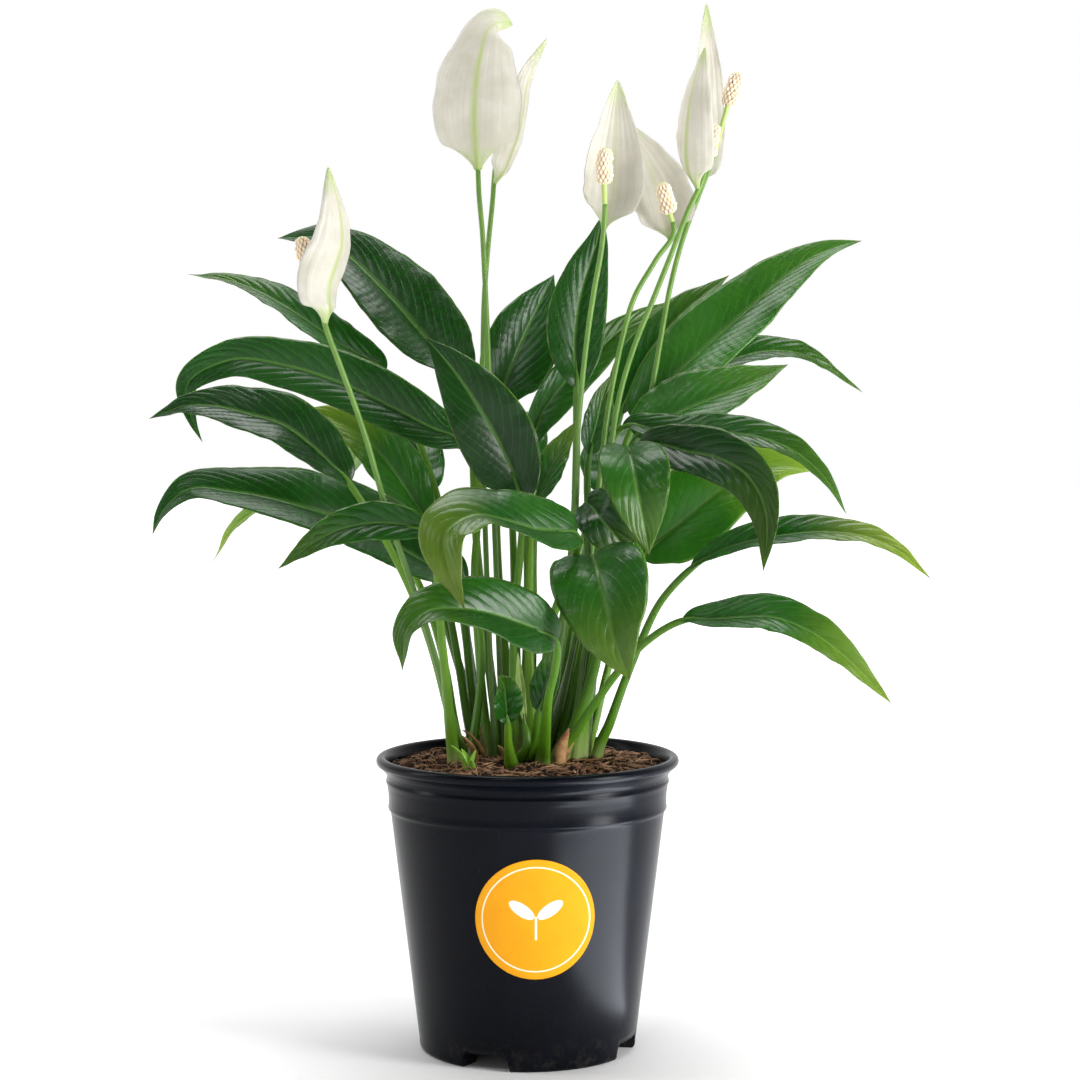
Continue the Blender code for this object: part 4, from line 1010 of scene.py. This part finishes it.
def makeFibres(name, count, length, thickness, material, seed):
    # bent hairs: six rings of four along a random arc, pinched shut at both ends
    rng = np.random.default_rng(seed)
    x, y = scatterSpots(count, rng, 71.0)
    size = length * (0.4 + 0.8 * rng.random(count))
    heading = rng.random(count) * 2 * math.pi
    bend = rng.normal(0, 1.0, count)
    t = np.linspace(0, 1, 7)
    turn = heading[:, None] + bend[:, None] * (t[None] - 0.5)
    stepX = np.cumsum(np.cos(turn), axis=1) * (size / 7)[:, None]
    stepY = np.cumsum(np.sin(turn), axis=1) * (size / 7)[:, None]
    px = x[:, None] + stepX - stepX.mean(axis=1, keepdims=True)
    py = y[:, None] + stepY - stepY.mean(axis=1, keepdims=True)
    inside = np.minimum(1, 72.0 / np.maximum(np.hypot(px, py), 1))
    px, py = px * inside, py * inside
    arch = (0.6 + 2.2 * rng.random(count) ** 3)[:, None] * np.sin(math.pi * t)[None]
    pz = soilHeight(px, py) + 0.4 + arch
    line = np.stack([px, py, pz], axis=-1)
    direction = unit(np.gradient(line, axis=1))
    side = unit(np.cross(direction, np.array([0, 0, 1.0])))
    up = np.cross(side, direction)
    angle = np.array([0, 0.5, 1, 1.5]) * math.pi
    girth = thickness * (0.5 + rng.random(count))[:, None] * np.array([0.3, 0.9, 1, 1, 1, 0.9, 0.3])[None]
    circle = np.cos(angle)[:, None] * side[:, :, None] + np.sin(angle)[:, None] * up[:, :, None]
    rings = line[:, :, None] + girth[..., None, None] * circle
    points = rings.reshape(count, -1, 3)
    quads = gridFaces(7, 4, True)
    caps = np.array([(0, 1, 2, 3), (27, 26, 25, 24)])
    faces = np.concatenate([quads, caps])
    faces = (faces[None] + 28 * np.arange(count)[:, None, None]).reshape(-1, 4)
    points = points.reshape(-1, 3) * mm + potMiddle
    skin = {"points": points, "quads": faces, "triangles": np.zeros((0, 3), int)}
    return newPiece(name, [skin], [material], [])


def sheetSkin(base, heading, length, width, arch, wrap, thickness, fresh, rows=16, columns=11):
    # a small pointed leaf: it rises along a bent line and its sides wrap towards its upper side
    t = np.linspace(0, 1, rows + 1)[:-1]
    lean = arch[0] + (arch[1] - arch[0]) * t
    outward = np.array([math.cos(heading), math.sin(heading), 0])
    steps = np.sin(lean)[:, None] * outward + np.cos(lean)[:, None] * np.array([0, 0, 1.0])
    line = base + np.cumsum(steps, axis=0) * length / rows
    direction = unit(steps)
    side = np.repeat(np.cross(outward, [0, 0, 1.0])[None], rows, axis=0)
    normal = np.cross(side, direction)
    half = width * np.clip(bladeOutline(np.maximum(t, 0.02) * 0.9 + 0.08, 0.5, 1.0), 0.05, 1)
    x = np.linspace(-1, 1, columns)[None, :]
    curl = x * wrap
    radius = (half / max(math.sin(min(wrap, 1.4)), 0.1))[:, None]
    sheets = []
    for skin in (0, thickness):
        offset = (radius + skin) * np.sin(curl)
        height = radius - (radius + skin) * np.cos(curl)
        sheets.append(line[:, None] + offset[..., None] * side[:, None] + height[..., None] * normal[:, None])
    loop = roundLoop(sheets[0], sheets[1])
    field = np.stack([x + 0 * t[:, None], t[:, None] + 0 * x, t[:, None] * 8 + 0 * x], axis=-1)
    fieldLoop = roundLoop(field, field)
    mark = np.zeros(fieldLoop.shape)
    mark[..., 0] = fresh
    tip = line[-1] + direction[-1] * length / rows
    return skinOf(loop, loop[0].mean(axis=0), tip, {"leafMap": fieldLoop, "leafMark": mark})


# Assembly

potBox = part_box("pot")
potAxis = ((potBox[0][0] + potBox[1][0]) / 2, (potBox[0][1] + potBox[1][1]) / 2)
potMiddle = np.array([*potAxis, 0])

leafMaterials = [makeLeafTop(), makeLeafUnder(), makeStalk()]
stemMaterial = makeFlowerStem()
spatheMaterial = makeSpatheTissue()
spadixMaterial = makeSpadixSkin()
soilMaterial = makeSoil()
print("materials made")

leafNodes = sorted(node for node in cadNodes if node.startswith("leaf_"))
for index, node in enumerate(leafNodes):
    growLeaf(node, index, leafMaterials)
print("leaves grown:", len(leafNodes))

for number in range(1, 8):
    _, endRadius = growSpadix(f"spadixFine{number}", f"spadix_{number}", spadixMaterial, number)
    line = growStem(f"flowerStemFine{number}", f"flower_stem_{number}", number, stemMaterial, endRadius)
    growSpathe(f"spatheFine{number}", f"spathe_{number}", line, spatheMaterial, number)
print("flowers grown")

potFine = makePot(makePotPlastic())
stickerCentre = ((potAxis[0] + stickerShape["x"] * mm), 0, stickerShape["z"] * mm)
makeSticker(makeStickerPaper(stickerCentre, stickerShape["radius"] * mm))
print("pot and sticker made")

makeSoilBody(soilMaterial)
rng = np.random.default_rng(11)
crumbDark = makeDebris("dark peat crumbs", "#150b07", "#40271b", 6 * mm, 0.95)
crumbPale = makeDebris("dry bark crumbs", "#4d3224", "#8d6750", 5 * mm, 0.9)
chipWood = makeDebris("bark chips", "#5a3726", "#a37b5f", 8 * mm, 0.8)
strawDry = makeDebris("dry straw", "#80583c", "#c39d78", 10 * mm, 0.7)
count = 2200
sizes = (0.5 + 1.5 * rng.random((count, 1)) ** 2) * (0.7 + 0.5 * rng.random((count, 3)))
makeScraps("peatCrumbs", count, sizes, randomTurns(count, rng), 0.2, [crumbDark], 21)
count = 900
sizes = (0.4 + 1.4 * rng.random((count, 1)) ** 2) * (0.6 + 0.6 * rng.random((count, 3)))
makeScraps("barkCrumbs", count, sizes, randomTurns(count, rng), 0.4, [crumbPale], 22)
count = 150
sizes = np.array([[4.2, 1.6, 0.6]]) * (0.5 + 0.9 * rng.random((count, 3)))
makeScraps("barkChips", count, sizes, flatTurns(count, rng, 0.35), 1.0, [chipWood], 23, 70.0)
count = 90
sizes = np.array([[9.0, 0.6, 0.4]]) * (0.5 + 0.8 * rng.random((count, 3)))
makeScraps("strawBits", count, sizes, flatTurns(count, rng, 0.2), 1.4, [strawDry], 24, 64.0)
makeFibres("coirFibres", 420, 22.0, 0.16, strawDry, 25)
print("potting mix made")

huskMaterial = makeDebris("dry sheath husks", "#7a5230", "#c49a6a", 7 * mm, 0.75)
husks, sproutSkins = [], []
for k in range(16):
    angle = rng.random() * 2 * math.pi
    reach = 20 + 22 * rng.random()
    base = np.array([reach * math.cos(angle), 0.8 * reach * math.sin(angle) - 4, 156.5]) * mm
    base = base + potMiddle
    size = (12 + 16 * rng.random()) * mm
    husks.append(sheetSkin(base, angle, size, size * 0.16, (0.15, 0.6 + rng.random()), 1.1, 0.3 * mm, 0))
newPiece("dryHusks", husks, [huskMaterial], [])
sproutLeaves = (  # place in mm, heading in radians, length in mm and lean of each small leaf
    (-33, -40, 3.6, 17, 0.9),
    (-31, -41, 2.4, 13, 0.7),
    (-30, -38, 5.6, 12, 0.5),
    (-29, -42, 4.6, 9, 1.0),
)
for x, y, heading, size, lean in sproutLeaves:
    base = np.array([x, y, 156.0]) * mm + potMiddle
    leaf = sheetSkin(base, heading, size * mm, size * 0.2 * mm, (0.1, lean), 0.8, 0.35 * mm, 0.95)
    sproutSkins.append(leaf)
newPiece("sprout", sproutSkins, [leafMaterials[0]], [])
print("husks and sprout made")


# Floor, light and camera

floorMesh = bpy.data.meshes.new("floor")
floorMesh.from_pydata([(-6, -3, 0), (6, -3, 0), (6, 9, 0), (-6, 9, 0)], [], [(0, 1, 2, 3)])
floorMesh.materials.append(makeFloor())
floor = bpy.data.objects.new("floor", floorMesh)
bpy.context.scene.collection.objects.link(floor)

# the surround is white behind the plant and pale along the horizon, and dim above in front of the plant,
# so that the black pot and the leaves keep their shape
surroundLight = {"dim": 0.12, "white": 1.0, "horizon": 0.8, "behind": (0.1, 0.75), "fade": (0.22, 0.4)}
world = bpy.data.worlds.new("studio")
world.use_nodes = True
sky = world.node_tree
heading = addNode(sky, "SeparateXYZ", {0: addNode(sky, "TexCoord").outputs["Generated"]}).outputs


def skyRamp(value, span, low, high):  # a light that changes evenly from low to high over the span
    settings = {"Value": value, "From Min": span[0], "From Max": span[1], "To Min": low, "To Max": high}
    return addNode(sky, "MapRange", settings).outputs[0]


behindPlant = skyRamp(heading[1], surroundLight["behind"], surroundLight["dim"], surroundLight["white"])
nearHorizon = skyRamp(heading[2], surroundLight["fade"], surroundLight["horizon"], surroundLight["dim"])
glow = addNode(sky, "Math", {0: behindPlant, 1: nearHorizon}, operation="MAXIMUM")
sky.links.new(glow.outputs[0], sky.nodes["Background"].inputs["Strength"])
sky.nodes["Background"].inputs["Color"].default_value = (1, 1, 1, 1)
bpy.context.scene.world = world


def addLamp(name, place, target, width, height, power, only=None):
    # a rectangular softbox aimed at its target; only names the one piece that it lights, with a cool light
    lamp = bpy.data.lights.new(name, "AREA")
    lamp.shape = "RECTANGLE"
    lamp.size = width
    lamp.size_y = height
    lamp.energy = power
    thing = bpy.data.objects.new(name, lamp)
    thing.location = place
    thing.rotation_euler = (Vector(target) - Vector(place)).to_track_quat("-Z", "Y").to_euler()
    bpy.context.scene.collection.objects.link(thing)
    if only:
        lit = bpy.data.collections.new(name + "Lit")
        lit.objects.link(only)
        thing.light_linking.receiver_collection = lit
        lamp.color = (0.86, 0.93, 1.0)


addLamp("overheadSoftbox", (0.0, 0.3, 1.7), (0, 0, 0.25), 1.3, 0.7, 21)
addLamp("rightSoftbox", (1.0, -0.55, 0.35), (0, 0, 0.16), 0.35, 0.8, 15)
addLamp("leftSoftbox", (-1.2, 0.0, 0.75), (0, 0, 0.25), 0.3, 1.1, 4.5)
addLamp("frontSoftbox", (-0.6, -1.7, 2.1), (0, 0, 0.4), 0.6, 0.4, 6)
addLamp("potGlossCard", (0.3, -0.15, 0.003), (0.3, -0.15, 1.0), 0.39, 0.3, 3.8, potFine)

camera = bpy.data.cameras.new("camera")
camera.lens = 78.6
camera.sensor_width = 36
cameraObject = bpy.data.objects.new("camera", camera)
cameraObject.location = (0.0068, -1.280, 0.345)
cameraObject.rotation_euler = (math.radians(90 - 3.034), 0, 0)
bpy.context.scene.collection.objects.link(cameraObject)
bpy.context.scene.camera = cameraObject
bpy.context.scene.view_settings.view_transform = "Standard"

print("scene ready")
